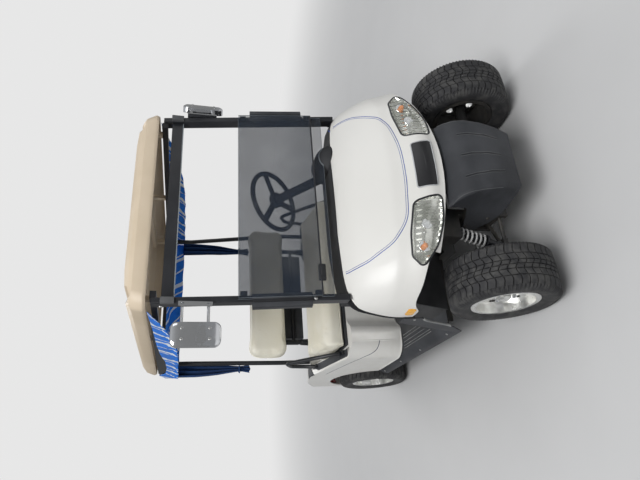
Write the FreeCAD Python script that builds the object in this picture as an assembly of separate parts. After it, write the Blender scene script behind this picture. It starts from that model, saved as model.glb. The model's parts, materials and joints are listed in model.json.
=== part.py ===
import FreeCAD, Part
import math
import os
from FreeCAD import Rotation, Placement
from FreeCAD import Vector as V

os.makedirs("parts", exist_ok=True)

# All sizes are millimetres. +Z is up, the front faces -Y and the driver sits at +X.
# The origin is on the ground, at the middle of the overall length.

# Whole vehicle
overall_length = 2400.0
front_overhang = 260.0
rear_overhang = 471.0
wheelbase = overall_length - front_overhang - rear_overhang
front_track = 958.0
rear_track = 980.0
seat_gap = 0.3          # gap between two pieces that seat on each other
front_y = -overall_length / 2
rear_y = overall_length / 2
front_axle_y = front_y + front_overhang
rear_axle_y = front_axle_y + wheelbase

# Wheels: a low 10 inch rim with a wide tyre
tyre_radius = 229.0
tyre_width = 205.0
tyre_tread_width = 168.0
rim_seat_radius = 127.0
rim_lip_radius = 142.0
rim_width = 178.0
rim_wall = 5.0
rim_disc_inset = 42.0   # from the outer lip to the outer face of the disc
rim_disc_thickness = 9.0
rim_window_radius = 17.0
rim_window_count = 10
hub_radius = 34.0
hub_length = 74.0
spindle_radius = 14.0
spindle_gap = 0.05
wheel_z = tyre_radius

# Frame: two rails that kick up over the rack in front and over the rear axle
rail_inner = 150.0
rail_outer = 190.0
rail_height = 64.0
rail_low = 216.0
rail_front_low = 290.0
rail_rear_low = 330.0
rail_front_end = 185.0  # from the front of the vehicle to the front of the rails
rail_rear_end = 70.0
cross_width = 30.0
outrigger_half = 515.0
outrigger_height = 40.0

# Front suspension and steering
kingpin_x = 345.0
kingpin_radius = 10.0
kingpin_low = 150.0
kingpin_boss_height = 20.0
knuckle_height = 120.0
knuckle_radius = 19.0
arm_pivot_x = 170.0
arm_pivot_z = 190.0
arm_pivot_spread = 110.0
arm_tube_radius = 13.0
steering_arm_length = 110.0
steering_arm_z = 243.0
steering_arm_thickness = 12.0
tie_rod_z = 230.0
tie_rod_radius = 8.0
tie_rod_eye_radius = 14.0
rack_radius = 11.0
rack_housing_radius = 19.0
rack_housing_half = 115.0
rack_joint_x = 192.0
rack_joint_radius = 15.0
coil_radius = 29.0
coil_top_x = 222.0
coil_top_z = 470.0
coil_low_x = 298.0
coil_perch_z = 182.0
tower_thickness = 5.0
tower_half_length = 38.0
tower_outer = 284.0
tower_skirt_z = 388.0

# Steering wheel and column
steering_x = 238.0
steering_y = front_axle_y + 640.0
steering_z = 1060.0
column_angle = 38.0     # of the column above the horizontal
steering_ring_radius = 165.0
steering_grip_radius = 13.0
steering_hub_radius = 42.0
steering_hub_height = 26.0
column_radius = 24.0
column_length = 470.0

# Floor
floor_half = 468.0
floor_thickness = 8.0
floor_rear_y = rear_axle_y - 667.0
toe_foot_y = front_axle_y + 380.0
toe_top_y = front_axle_y + 240.0
toe_top_z = 640.0
tread_rib_height = 3.0
tread_rib_width = 22.0
tread_rib_pitch = 62.0

# Front wheel arch, sill and rear wheel arch
sill_outer = 576.0
sill_low = 225.0
sill_round = 54.0
sill_wall = 5.0
step_rib_count = 5
step_rib_pitch = 11.0
step_rib_height = 2.0
sill_fender_top = 604.0
# edge of the front wheel opening: behind the front axle, height, corner radius
front_arch_line = [
    (-420.0, 0.0, 0.0),
    (-310.0, 420.0, 60.0),
    (-70.0, 588.0, 110.0),
    (75.0, 606.0, 90.0),
    (210.0, 500.0, 90.0),
    (283.0, 345.0, 90.0),
    (392.0, 222.0, 0.0),
    (420.0, 0.0, 0.0),
]
rear_arch_radius = 290.0
rear_arch_z = 240.0

# Front cowl: plan sections from the lower edge up to the brow
cowl_wall = 5.0
lamp_depth = 36.0
marker_depth = 12.0
cowl_lip_z = 497.0
cowl_lip_radius = 2300.0
brow_front_y = front_axle_y + 165.0
brow_end_y = front_axle_y + 219.0
brow_half = 506.0
brow_top_z = 888.0
brow_end_z = 835.0
hump_radius = 90.0
hump_y = front_axle_y + 250.0
hump_z = 846.0
# height, nose behind the front axle, half width, radius of the nose, radius of the corner
cowl_sections = [
    (485.0, -176.0, 556.0, 850.0, 250.0),
    (540.0, -164.0, 566.0, 900.0, 270.0),
    (600.0, -134.0, 568.0, 1500.0, 280.0),
    (640.0, -102.0, 566.0, 1700.0, 270.0),
    (690.0, -72.0, 558.0, 1600.0, 240.0),
    (735.0, -34.0, 546.0, 1500.0, 215.0),
    (800.0, 26.0, 528.0, 1200.0, 210.0),
    (850.0, 95.0, 500.0, 1000.0, 210.0),
    (876.0, 152.0, 470.0, 900.0, 200.0),
]

# Dash
dash_half = 473.0
dash_wall = 6.0
dash_rear_y = front_axle_y + 340.0
side_trim_depth = 55.0   # of the dark strip behind the cowl's side edge

# Front bumper
bumper_wall = 5.0
# height, front behind the vehicle's front, then the half width there, beside the rails and at the rear
bumper_sections = [
    (190.0, 24.0, 140.0, 196.0, 207.0),
    (262.0, 4.0, 150.0, 197.0, 209.0),
    (330.0, 0.0, 162.0, 200.0, 211.0),
    (400.0, 12.0, 176.0, 203.0, 213.0),
    (440.0, 34.0, 186.0, 205.0, 215.0),
    (468.0, 68.0, 194.0, 206.0, 216.0),
    (487.0, 118.0, 201.0, 207.0, 217.0),
]
groove_spacing = 92.0
groove_z = 345.0
groove_radius = 1300.0
groove_width = 9.0
groove_depth = 3.5
groove_lean = 8.0         # degrees
bumper_side_y = 178.0     # from the front of the vehicle to where the wings run beside the rails
bumper_tip_y = 349.0
# side edge of the bumper: from the front of the vehicle, height, corner radius
bumper_edge = [
    (-10.0, 180.0, 0.0),
    (20.0, 190.0, 0.0),
    (142.0, 208.0, 60.0),
    (238.0, 237.0, 60.0),
    (308.0, 284.0, 30.0),
    (349.0, 318.0, 8.0),
    (286.0, 341.0, 60.0),
    (192.0, 374.0, 60.0),
    (130.0, 398.0, 30.0),
    (122.0, 500.0, 0.0),
    (-10.0, 500.0, 0.0),
]

# Roof posts, windshield and roof
strut_base = (476.0, front_axle_y + 222.0, 846.0)
strut_top = (463.0, front_axle_y + 345.0, 1660.0)
strut_width = 28.0
strut_depth = 54.0
strut_foot_z = 838.0
header_low = 1566.0
header_high = 1620.0
header_depth = 32.0
pane_half = 474.0
pane_thickness = 5.0
pane_fold_z = 1308.0
pane_low_z = 905.0
pane_folded_low_z = 960.0
pane_spacing = 14.0
rail_bar_outer = strut_top[0] - strut_width / 2 - seat_gap
rail_bar_width = 30.0
rail_bar_low = 1640.0
rail_bar_height = 26.0
roof_half = 501.0
roof_front_y = front_axle_y + 294.0
roof_rear_y = rear_axle_y + 48.0
roof_low = 1680.0
roof_wall = 5.0
# height, inset from the rim, corner radius
roof_sections = [
    (1680.0, 6.0, 60.0),
    (1694.0, 0.0, 66.0),
    (1738.0, 14.0, 70.0),
    (1776.0, 60.0, 60.0),
]
roof_crown_radius = 4200.0
channel_x = 426.0       # drain channels that run the length of the roof
channel_radius = 30.0
ceiling_rib_pitch = 139.0
ceiling_rib_radius = 9.0
rear_strut_radius = 14.0

# Rear body
body_low = rail_low + rail_height + floor_thickness + 2 * seat_gap
body_wall = 5.0
body_front_y = rear_axle_y - 724.0
body_recess_y = body_front_y + 73.0
body_rear_y = rear_y - 75.0
body_half = 558.0
body_top_front = (body_front_y + 59.0, 606.0)
body_top_rear = (rear_axle_y - 129.0, 714.0)
seat_well_half = 497.0
seat_well_rear_y = rear_axle_y - 243.0
lid_room_rear_y = rear_axle_y - 154.0
bag_half = 430.0
bag_front_y = rear_axle_y - 209.0
cut_half = 700.0        # half width of the blocks that cut right through the body

# Seat
cushion_half = 490.0
cushion_front_y = body_front_y + 57.0
cushion_rear_y = cushion_front_y + 378.0
cushion_low = 612.0
cushion_front_z = 712.0
cushion_rear_z = 762.0
seat_hinge_y = cushion_rear_y + 30.0
seat_base_thickness = 14.0
seat_shelf_z = cushion_low - 2 * seat_gap - seat_base_thickness
seat_hinge_x = 300.0
seat_hinge_half = 30.0
seat_hinge_radius = 7.0
seat_pin_radius = 3.5
back_half = 450.0
back_low = 870.0
back_high = 1122.0
back_front_y = cushion_rear_y + 30.0
back_thickness = 88.0
post_x = 330.0
post_y = back_front_y + 115.0
post_radius = 15.0
post_boot_height = 120.0
crossbar_radius = 11.0

# Batteries
battery_half = 335.0
battery_front_y = body_front_y + 81.0
battery_rear_y = battery_front_y + 338.0
battery_high = 560.0

# Hip restraints
restraint_x = 514.0
restraint_radius = 12.0

# Rear axle and springs
axle_tube_radius = 32.0
axle_tube_half = 420.0
motor_radius = 82.0
motor_y = rear_axle_y - 133.0
motor_z = 236.0
spring_x = 302.0
spring_width = 45.0
spring_half_length = 280.0
spring_thickness = 22.0
spring_eye_radius = 16.0

# Bag well
bag_wall = 6.0
bag_foot_half = 372.0   # between the wheels
bag_ledge_z = 545.0
bag_rear_y = rear_y - 94.0
bag_high = 640.0

tail_lamp_depth = 24.0

# Rear bumper
rear_bumper_half = 470.0
rear_bumper_low = 330.0
rear_bumper_high = 405.0
hitch_hole_radius = 5.5
hitch_spacing = 120.0

# Mirrors
mirror_arm = 90.0         # from the roof post to the mirror
mirror_width = 100.0
mirror_outer = strut_top[0] + strut_width / 2 + mirror_arm + mirror_width
mirror_low = 1375.0
mirror_high = 1575.0
mirror_y = front_axle_y + 285.0
mirror_plate = 5.5
mirror_swing = 42.0       # the driver's mirror is swung back
mirror_depth = 26.0

# Club cover of striped cloth
cover_half = 490.5
cover_cloth = 3.0
cover_front_y = roof_front_y + 86.0
cover_rear_y = roof_rear_y + 117.0
cover_top_z = 1632.0
cover_low_z = 1548.0

rail_top = rail_low + rail_height
floor_low = rail_top + seat_gap
floor_top = floor_low + floor_thickness


def box(x0, x1, y0, y1, z0, z1):
    return Part.makeBox(x1 - x0, y1 - y0, z1 - z0, V(x0, y0, z0))


def rod(start, end, radius):
    start, end = V(*start), V(*end)
    return Part.makeCylinder(radius, (end - start).Length, start, end - start)


def mirrored(shape):
    return shape.mirror(V(0, 0, 0), V(1, 0, 0))


def fuse(shapes):
    return shapes[0].fuse(shapes[1:]).removeSplitter()


def both(shape):
    return [shape, mirrored(shape)]


def corner_edges(points, place):
    """Edges of a closed outline; each point is (a, b, corner radius)."""
    flat = [FreeCAD.Base.Vector2d(p[0], p[1]) for p in points]
    corners = []
    for i, (a, b, radius) in enumerate(points):
        here, before, after = flat[i], flat[i - 1], flat[(i + 1) % len(flat)]
        back = (before.x - here.x, before.y - here.y)
        ahead = (after.x - here.x, after.y - here.y)
        back_length, ahead_length = math.hypot(*back), math.hypot(*ahead)
        back = (back[0] / back_length, back[1] / back_length)
        ahead = (ahead[0] / ahead_length, ahead[1] / ahead_length)
        if radius <= 0:
            corners.append(((a, b), None, (a, b)))
            continue
        cosine = max(-1.0, min(1.0, back[0] * ahead[0] + back[1] * ahead[1]))
        half = math.acos(cosine) / 2
        reach = radius / math.tan(half)
        middle = (back[0] + ahead[0], back[1] + ahead[1])
        length = math.hypot(*middle)
        middle = (middle[0] / length, middle[1] / length)
        depth = radius / math.sin(half) - radius
        corners.append(((a + back[0] * reach, b + back[1] * reach),
                        (a + middle[0] * depth, b + middle[1] * depth),
                        (a + ahead[0] * reach, b + ahead[1] * reach)))
    edges = []
    for i, (start, middle, end) in enumerate(corners):
        if middle:
            edges.append(Part.Arc(place(*start), place(*middle), place(*end)).toShape())
        following = corners[(i + 1) % len(corners)][0]
        if math.hypot(following[0] - end[0], following[1] - end[1]) > 1e-6:
            edges.append(Part.LineSegment(place(*end), place(*following)).toShape())
    return edges


def outline(points, place):
    return Part.Wire(corner_edges([tuple(p) + (0,) * (3 - len(p)) for p in points], place))


def prism_yz(points, x0, x1):
    wire = outline(points, lambda a, b: V(x0, a, b))
    return Part.Face(wire).extrude(V(x1 - x0, 0, 0))


def prism_xz(points, y0, y1):
    wire = outline(points, lambda a, b: V(a, y0, b))
    return Part.Face(wire).extrude(V(0, y1 - y0, 0))


def prism_xy(points, z0, z1):
    wire = outline(points, lambda a, b: V(a, b, z0))
    return Part.Face(wire).extrude(V(0, 0, z1 - z0))


def bent_tube(points, radius, bend):
    """Round bar along straight runs joined by tangent arcs."""
    points = [V(*p) for p in points]
    edges, start = [], points[0]
    for before, here, after in zip(points, points[1:], points[2:]):
        back, ahead = (before - here).normalize(), (after - here).normalize()
        half = back.getAngle(ahead) / 2
        reach = bend / math.tan(half)
        middle = (back + ahead).normalize() * (bend / math.sin(half) - bend)
        arc_start, arc_end = here + back * reach, here + ahead * reach
        edges.append(Part.LineSegment(start, arc_start).toShape())
        edges.append(Part.Arc(arc_start, here + middle, arc_end).toShape())
        start = arc_end
    edges.append(Part.LineSegment(start, points[-1]).toShape())
    section = Part.Wire(Part.makeCircle(radius, points[0], points[1] - points[0]))
    return Part.Wire(edges).makePipeShell([section], True, False)


def ring_x(radius, x0, x1, y, z):
    return Part.makeCylinder(radius, x1 - x0, V(x0, y, z), V(1, 0, 0))


# Frame

def rail():
    low = [(front_y + rail_front_end, rail_front_low), (toe_top_y - 20, rail_front_low),
           (toe_foot_y - 60, rail_low), (battery_rear_y + 4, rail_low),
           (battery_rear_y + 104, rail_rear_low), (rear_y - rail_rear_end, rail_rear_low)]
    high = [(y, z + rail_height) for y, z in reversed(low)]
    return prism_yz(low + high, rail_inner, rail_outer)


def tower():
    """Hood over the top of the coil, open at the rear."""
    y0, y1 = front_axle_y - tower_half_length, front_axle_y + tower_half_length
    low, t = rail_front_low + rail_height, tower_thickness
    web = box(rail_inner, rail_inner + 25, y0, y1, low - 1, coil_top_z + t)
    hood = box(rail_inner, tower_outer, y0, y1, tower_skirt_z, coil_top_z + t)
    room = box(rail_inner + 25, tower_outer - t, y0 + t, y1 + 1, tower_skirt_z - 1, coil_top_z)
    return [web, hood.cut(room)]


def arm_lugs():
    lugs = []
    for side in (-1, 1):
        y = front_axle_y + side * (arm_pivot_spread / 2 + 10 + seat_gap)
        lugs.append(box(rail_inner, rail_outer, y - 10, y + 10, arm_pivot_z - 20, rail_front_low + 1))
    return lugs


def frame():
    half = rail().fuse(tower() + arm_lugs())
    cross = []
    bracket_high = rail_front_low + 40
    lower, upper = bumper_sections[1], bumper_sections[2]
    share = (rail_front_low - lower[0]) / (upper[0] - lower[0])
    bracket_y = front_y + lower[1] + (upper[1] - lower[1]) * share + bumper_wall + seat_gap
    cross.append(box(-110, 110, bracket_y, front_y + rail_front_end + 1, rail_front_low, bracket_high))
    for y in (front_y + rail_front_end, front_axle_y + 190):
        cross.append(box(-rail_outer, rail_outer, y, y + cross_width, rail_front_low, rail_front_low + rail_height))
    battery_cross_y = battery_rear_y - 44
    for y in (toe_foot_y + 40, toe_foot_y + 320, body_front_y + 25, battery_cross_y):
        half_width = rail_outer if y == battery_cross_y else outrigger_half
        cross.append(box(-half_width, half_width, y, y + cross_width, rail_top - outrigger_height, rail_top))
    hanger_half = spring_x + spring_width / 2 + 18
    for y in (rear_axle_y - spring_half_length, rear_axle_y + spring_half_length):
        cross.append(box(-hanger_half, hanger_half, y - 22, y + 22, rail_rear_low, rail_rear_low + 22))
        cross.append(box(-rail_outer, -rail_inner, y - 22, y + 22, rail_top - 1, rail_rear_low + 22)
                     if y < rear_axle_y else
                     box(-rail_outer, rail_outer, y - 22, y + 22, rail_rear_low, rail_rear_low + 50))
        if y < rear_axle_y:
            cross.append(box(rail_inner, rail_outer, y - 22, y + 22, rail_top - 1, rail_rear_low + 22))
    damper_y = rear_axle_y + 120
    cross.append(box(-hanger_half, hanger_half, damper_y - 18, damper_y + 18, rail_rear_low + 10, rail_rear_low + 50))
    end = rear_y - rail_rear_end
    cross.append(box(-rail_outer, rail_outer, end - cross_width, end, rail_rear_low, rail_rear_low + rail_height))
    rack_y = front_axle_y + steering_arm_length
    for x in (-90, 90):
        cross.append(box(x - 12, x + 12, rack_y + rack_housing_radius - 3, front_axle_y + 200,
                         tie_rod_z - 10, rail_front_low + 1))
    housing = ring_x(rack_housing_radius, -rack_housing_half, rack_housing_half, rack_y, tie_rod_z)
    solid = fuse([half, mirrored(half), housing] + cross)
    bore = ring_x(rack_radius + 1.0, -rack_housing_half - 1, rack_housing_half + 1, rack_y, tie_rod_z)
    return solid.cut(bore)


# Front suspension

def control_arm():
    y, z = front_axle_y, arm_pivot_z
    half = arm_pivot_spread / 2
    pivot = rod((arm_pivot_x, y - half, z), (arm_pivot_x, y + half, z), arm_tube_radius)
    boss_z = kingpin_low + kingpin_boss_height
    boss = rod((kingpin_x, y, kingpin_low), (kingpin_x, y, boss_z), 26)
    end = (kingpin_x, y, kingpin_low + kingpin_boss_height / 2 - 2)
    legs = [rod((arm_pivot_x, y + side * (half - 12), z), end, 8) for side in (-1, 1)]
    perch = box(coil_low_x - 24, coil_low_x + 24, y - 26, y + 26, boss_z - 12, coil_perch_z)
    pin = rod((kingpin_x, y, boss_z - 1), (kingpin_x, y, boss_z + knuckle_height + 2 * seat_gap + 1), kingpin_radius)
    top = boss_z + knuckle_height + 2 * seat_gap
    cap = rod((kingpin_x, y, top), (kingpin_x, y, top + 9), 17)
    return fuse([pivot, boss, perch, pin, cap] + legs)


def coilover():
    y = front_axle_y
    low_z = coil_perch_z + seat_gap + 15
    low, high = V(coil_low_x, y, low_z), V(coil_top_x, y, coil_top_z - 4)
    axis = (high - low).normalize()
    eye = rod((coil_low_x, y - 18, low_z), (coil_low_x, y + 18, low_z), 15)
    body = Part.makeCylinder(17, 150, low, axis)
    spring = Part.makeCylinder(coil_radius, 170, low + axis * 62, axis)
    stem = Part.makeCylinder(8, (high - low).Length - 20, low, axis)
    stud = rod((coil_top_x, y, coil_top_z - 40), (coil_top_x, y, coil_top_z - seat_gap), 12)
    return fuse([eye, body, spring, stem, stud])


def knuckle():
    y = front_axle_y
    low = kingpin_low + kingpin_boss_height + seat_gap
    tube = rod((kingpin_x, y, low), (kingpin_x, y, low + knuckle_height), knuckle_radius)
    spindle_end = front_track / 2 + rim_width / 2 - rim_disc_inset + 2
    spindle = ring_x(spindle_radius, kingpin_x, spindle_end, y, wheel_z)
    shoulder = ring_x(24, kingpin_x, hub_inner(front_track) - seat_gap, y, wheel_z)
    arm_y = y + steering_arm_length
    arm = box(kingpin_x - 12, kingpin_x + 12, y, arm_y, steering_arm_z, steering_arm_z + steering_arm_thickness)
    arm_end = rod((kingpin_x, arm_y, steering_arm_z), (kingpin_x, arm_y, steering_arm_z + steering_arm_thickness), 14)
    solid = fuse([tube, spindle, shoulder, arm, arm_end])
    bore = rod((kingpin_x, y, low - 1), (kingpin_x, y, low + knuckle_height + 1), kingpin_radius + spindle_gap)
    return solid.cut(bore)


def steering_rack():
    y = front_axle_y + steering_arm_length
    joint, boot, end = rack_joint_x, rack_joint_radius, kingpin_x
    half = [(0, rack_radius), (joint - boot, rack_radius), (joint - boot, boot - 5), (joint - 5, boot),
            (joint + 5, boot), (joint + boot, tie_rod_radius), (end, tie_rod_radius)]
    line = [(-x, radius) for x, radius in reversed(half[1:])] + half
    wire = outline([(-end, 0)] + line + [(end, 0)], lambda x, radius: V(x, y, tie_rod_z + radius))
    bar = Part.Face(wire).revolve(V(0, y, tie_rod_z), V(1, 0, 0), 360)
    eyes = [rod((side * end, y, tie_rod_z - 11), (side * end, y, steering_arm_z - seat_gap), tie_rod_eye_radius)
            for side in (-1, 1)]
    return fuse([bar] + eyes)


# Wheels

def hub_inner(track):
    return track / 2 + rim_width / 2 - rim_disc_inset - hub_length + 12


def revolved(points, x, y):
    """Turn a closed (axial, radius) outline about the wheel's axle."""
    wire = outline(points, lambda a, r: V(x + a, y, wheel_z + r))
    return Part.Face(wire).revolve(V(x, y, wheel_z), V(1, 0, 0), 360)


def tyre(x, y):
    half, tread = tyre_width / 2, tyre_tread_width / 2
    bead_half = rim_width / 2 - 6
    bead = rim_seat_radius + seat_gap
    shoulder, bulge = tyre_radius - 4, (rim_lip_radius + tyre_radius) / 2 - 6
    side = [(bead_half, bead), (bead_half, rim_lip_radius + 2), (half, bulge), (tread, shoulder)]
    outside = side + [(0, tyre_radius)] + [(-a, r) for a, r in reversed(side)]
    return revolved(outside, x, y)


def rim(x, y, outward):
    half = rim_width / 2
    barrel_outer, barrel_inner = rim_seat_radius, rim_seat_radius - rim_wall
    barrel = revolved([(-half, barrel_inner), (half, barrel_inner), (half, rim_lip_radius),
                       (half - rim_wall, rim_lip_radius), (half - rim_wall, barrel_outer),
                       (-half + rim_wall, barrel_outer), (-half + rim_wall, rim_lip_radius),
                       (-half, rim_lip_radius)], x, y)
    face = x + outward * (half - rim_disc_inset)
    back = face - outward * rim_disc_thickness
    disc = ring_x(barrel_inner + 1, min(face, back), max(face, back), y, wheel_z)
    hub_back = face - outward * hub_length + outward * 12
    hub_front = face + outward * 12
    hub = ring_x(hub_radius, min(hub_back, hub_front), max(hub_back, hub_front), y, wheel_z)
    solid = fuse([barrel, disc, hub])
    cuts = [ring_x(spindle_radius + spindle_gap, min(hub_back, face) - 1 if outward > 0 else face - 4,
                   max(hub_back, face) + 1 if outward < 0 else face + 4, y, wheel_z)]
    for i in range(rim_window_count):
        angle = 2 * math.pi * i / rim_window_count
        reach = (barrel_inner + hub_radius) / 2 + 6
        cuts.append(ring_x(rim_window_radius, min(face, back) - 1, max(face, back) + 1,
                           y + reach * math.cos(angle), wheel_z + reach * math.sin(angle)))
    return solid.cut(cuts)


# Floor, sills and cowl

def floor_pan():
    slope = [(floor_rear_y, floor_low), (toe_foot_y, floor_low), (toe_top_y, toe_top_z),
             (toe_top_y + floor_thickness, toe_top_z + 2), (toe_foot_y + 6, floor_top), (floor_rear_y, floor_top)]
    pan = prism_yz(slope, -floor_half, floor_half)
    count = int((floor_half - 60) / tread_rib_pitch)
    ribs = [box(x * tread_rib_pitch - tread_rib_width / 2, x * tread_rib_pitch + tread_rib_width / 2,
                toe_foot_y + 75, body_front_y - 40, floor_top - 1, floor_top + tread_rib_height)
            for x in range(-count, count + 1)]
    return fuse([pan] + ribs)


def arch(radius, y, z, x0, x1):
    return ring_x(radius, x0, x1, y, z)


def front_arch(x0, x1):
    return prism_yz([(front_axle_y + y, z, radius) for y, z, radius in front_arch_line], x0, x1)


def side_sill():
    inner = floor_half + seat_gap
    y0, y1 = front_axle_y, rear_axle_y
    skin = prism_xz([(inner, floor_top), (sill_outer - 4, floor_top, sill_round),
                     (sill_outer, sill_low), (inner, sill_low)], y0, y1)
    hollow = prism_xz([(inner - 9, floor_top - sill_wall), (sill_outer - 4 - sill_wall, floor_top - sill_wall,
                                                            sill_round - sill_wall),
                       (sill_outer - sill_wall, sill_low - 9), (inner - 9, sill_low - 9)], y0 - 1, y1 + 1)
    fender_line = [(front_axle_y + 75, sill_fender_top), (toe_top_y + 15, sill_fender_top), (toe_foot_y + 10, floor_top),
                   (toe_foot_y + 40, sill_low), (front_axle_y + 75, sill_low)]
    fender = prism_yz(fender_line, inner + 25, sill_outer)
    fender_hollow = prism_yz(fender_line, inner, sill_outer - sill_wall)
    edge = cowl_side_line(seat_gap)
    ahead = prism_yz([(front_axle_y, edge[0][1]), edge[0], edge[1], (front_axle_y, edge[1][1])], -cut_half, cut_half)
    fender = fender.cut(fender_hollow).cut(ahead)
    ribs = [box(inner + 6 + i * step_rib_pitch, inner + 9 + i * step_rib_pitch, body_front_y - 230 - i * 35,
                body_front_y - 6, floor_top - 1, floor_top + step_rib_height) for i in range(step_rib_count)]
    sill = skin.cut(hollow).fuse([fender] + ribs).cut(fender_hollow)
    sill = sill.cut(front_arch(0, sill_outer + 1))
    sill = sill.cut(arch(rear_arch_radius, rear_axle_y, rear_arch_z, 0, sill_outer + 1))
    sill = sill.cut(box(0, sill_outer + 1, rear_axle_y, rear_axle_y + 9, 0, 900))
    return sill


def cowl_wire(section, inset, rear):
    z, nose, half, nose_radius, corner_radius = section
    nose, half = front_axle_y + nose + inset, half - inset
    nose_radius, corner_radius = nose_radius - inset, corner_radius - inset
    centre_y = nose + nose_radius
    corner_x = half - corner_radius
    corner_y = centre_y - math.sqrt((nose_radius - corner_radius) ** 2 - corner_x ** 2)
    turn = math.asin(corner_x / (nose_radius - corner_radius))
    touch = (nose_radius * math.sin(turn), centre_y - nose_radius * math.cos(turn))
    bend = (math.pi / 2 + turn) / 2
    middle = (corner_x + corner_radius * math.sin(bend), corner_y - corner_radius * math.cos(bend))
    edges = [Part.Arc(V(-touch[0], touch[1], z), V(0, nose, z), V(touch[0], touch[1], z)),
             Part.Arc(V(touch[0], touch[1], z), V(middle[0], middle[1], z), V(half, corner_y, z)),
             Part.LineSegment(V(half, corner_y, z), V(half, rear, z)),
             Part.LineSegment(V(half, rear, z), V(-half, rear, z)),
             Part.LineSegment(V(-half, rear, z), V(-half, corner_y, z)),
             Part.Arc(V(-half, corner_y, z), V(-middle[0], middle[1], z), V(-touch[0], touch[1], z))]
    return Part.Wire([e.toShape() for e in edges])


def brow_cylinder(inset):
    """Upright cylinder whose front wall is the line where hood and dash meet."""
    sagitta = brow_end_y - brow_front_y
    radius = (brow_half ** 2 + sagitta ** 2) / (2 * sagitta)
    return Part.makeCylinder(radius - inset, roof_low, V(0, brow_front_y + radius, 0))


def hump(extra):
    ball = Part.makeSphere(hump_radius + extra, V(steering_x, hump_y, hump_z))
    return ball.fuse(Part.makeCylinder(hump_radius + extra, dash_rear_y - hump_y - 20,
                                       V(steering_x, hump_y, hump_z), V(0, 1, 0)))


def cowl_side_line(back):
    """Rear edge of the cowl's side, from low to high, moved back by back."""
    return [(brow_front_y + 10 + back, cowl_sections[0][0] - 5), (brow_end_y + 9 + back, brow_end_z - 5)]


def front_cowl():
    rear = brow_end_y + 40
    outside = Part.makeLoft([cowl_wire(s, 0, rear) for s in cowl_sections], True, False)
    lowest, highest = cowl_sections[0], cowl_sections[-1]
    inner_table = [(lowest[0] - 10,) + lowest[1:]] + cowl_sections[1:-1]
    inner_table.append((highest[0] - cowl_wall,) + highest[1:])
    inside = Part.makeLoft([cowl_wire(s, cowl_wall, rear + 10) for s in inner_table], True, False)
    cowl = outside.cut(inside)
    lip = Part.makeCylinder(cowl_lip_radius, 900, V(0, front_y - 100, cowl_lip_z + cowl_lip_radius), V(0, 1, 0))
    cowl = cowl.common(lip)
    cowl = cowl.cut(brow_cylinder(0))
    low, high = cowl_side_line(0)
    behind = [low, high, (brow_end_y + 90, high[1]), (brow_end_y + 90, low[1])]
    cowl = cowl.cut(prism_yz(behind, -cut_half, cut_half))
    notch = strut_loft(2.0)
    cowl = cowl.cut([hump(seat_gap)] + both(lamp_prism(seat_gap)) + both(marker_prism(seat_gap)) + both(notch))
    return cowl.cut(both(front_arch(380, cut_half)))


def dash_panel():
    outer = [(brow_front_y - 20, brow_top_z - 70), (brow_front_y - 20, brow_top_z - 14, 8),
             (brow_front_y + 75, brow_top_z, 40), (dash_rear_y, brow_top_z - 6, 26),
             (dash_rear_y + 4, brow_top_z - 100, 40), (toe_top_y + floor_thickness + 4, toe_top_z + 4)]
    t = dash_wall
    inner = [(brow_front_y - 40, brow_top_z - 100), (brow_front_y - 40, brow_top_z - 14 - t),
             (brow_front_y + 75, brow_top_z - t, 34), (dash_rear_y - t, brow_top_z - 6 - t, 20),
             (dash_rear_y + 4 - t, brow_top_z - 100, 34), (toe_top_y + floor_thickness - 4, toe_top_z - 10),
             (brow_front_y, toe_top_z - 10)]
    shell = prism_yz(outer, -dash_half, dash_half)
    crown_sagitta = brow_top_z - brow_end_z
    crown_radius = (brow_half ** 2 + crown_sagitta ** 2) / (2 * crown_sagitta)
    start = V(0, brow_front_y - 225, brow_top_z - crown_radius)
    crown = Part.makeCylinder(crown_radius, 600, start, V(0, 1, 0))
    hollow_crown = Part.makeCylinder(crown_radius - t, 600, start, V(0, 1, 0))
    hollow = prism_yz(inner, -dash_half + t, dash_half - t).common(hollow_crown)
    shell = shell.common(crown)
    shell = shell.fuse(hump(0)).cut(hollow).cut(hump(-t))
    shell = shell.common(brow_cylinder(seat_gap).fuse(hump(0)))
    shell = fuse([shell] + side_trim()).cut(both(strut_loft(seat_gap)))
    return shell.cut(column_solid(column_radius + seat_gap, column_length + 200))


def side_trim():
    """Dark strips behind the cowl's side edges, each on a web that carries the foot of a front post."""
    rear = brow_end_y + side_trim_depth + 40
    outside = Part.makeLoft([cowl_wire(s, 1.5, rear) for s in cowl_sections], True, False)
    inside = Part.makeLoft([cowl_wire(s, 1.5 + dash_wall, rear + 10) for s in cowl_sections], True, False)
    low, high = cowl_side_line(seat_gap)
    low_z = floor_top + 260
    share = (low_z - low[1]) / (high[1] - low[1])
    start_y = low[0] + (high[0] - low[0]) * share
    top_z = brow_end_z + 20
    strip = [(start_y, low_z), high, (high[0], top_z, 10), (high[0] + side_trim_depth, top_z - 8, 30),
             (start_y + side_trim_depth / 2, low_z)]
    skin = outside.cut(inside).common(prism_yz(strip, -cut_half, cut_half))
    near = strut_depth / 2 + seat_gap
    y0, y1 = strut_point(low_z)[1] + near, strut_point(top_z)[1] + near
    web = prism_yz([(y0, low_z), (y0 + dash_wall, low_z), (y1 + dash_wall, top_z), (y1, top_z)],
                   dash_half - dash_wall, cut_half)
    return [skin] + [w.common(outside) for w in both(web)]


# Steering

def column_place():
    return Placement(V(steering_x, steering_y, steering_z), Rotation(V(1, 0, 0), column_angle - 90))


def column_solid(radius, length):
    solid = Part.makeCylinder(radius, length, V(0, 0, -steering_hub_height / 2 - seat_gap), V(0, 0, -1))
    solid.Placement = column_place()
    return solid


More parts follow.
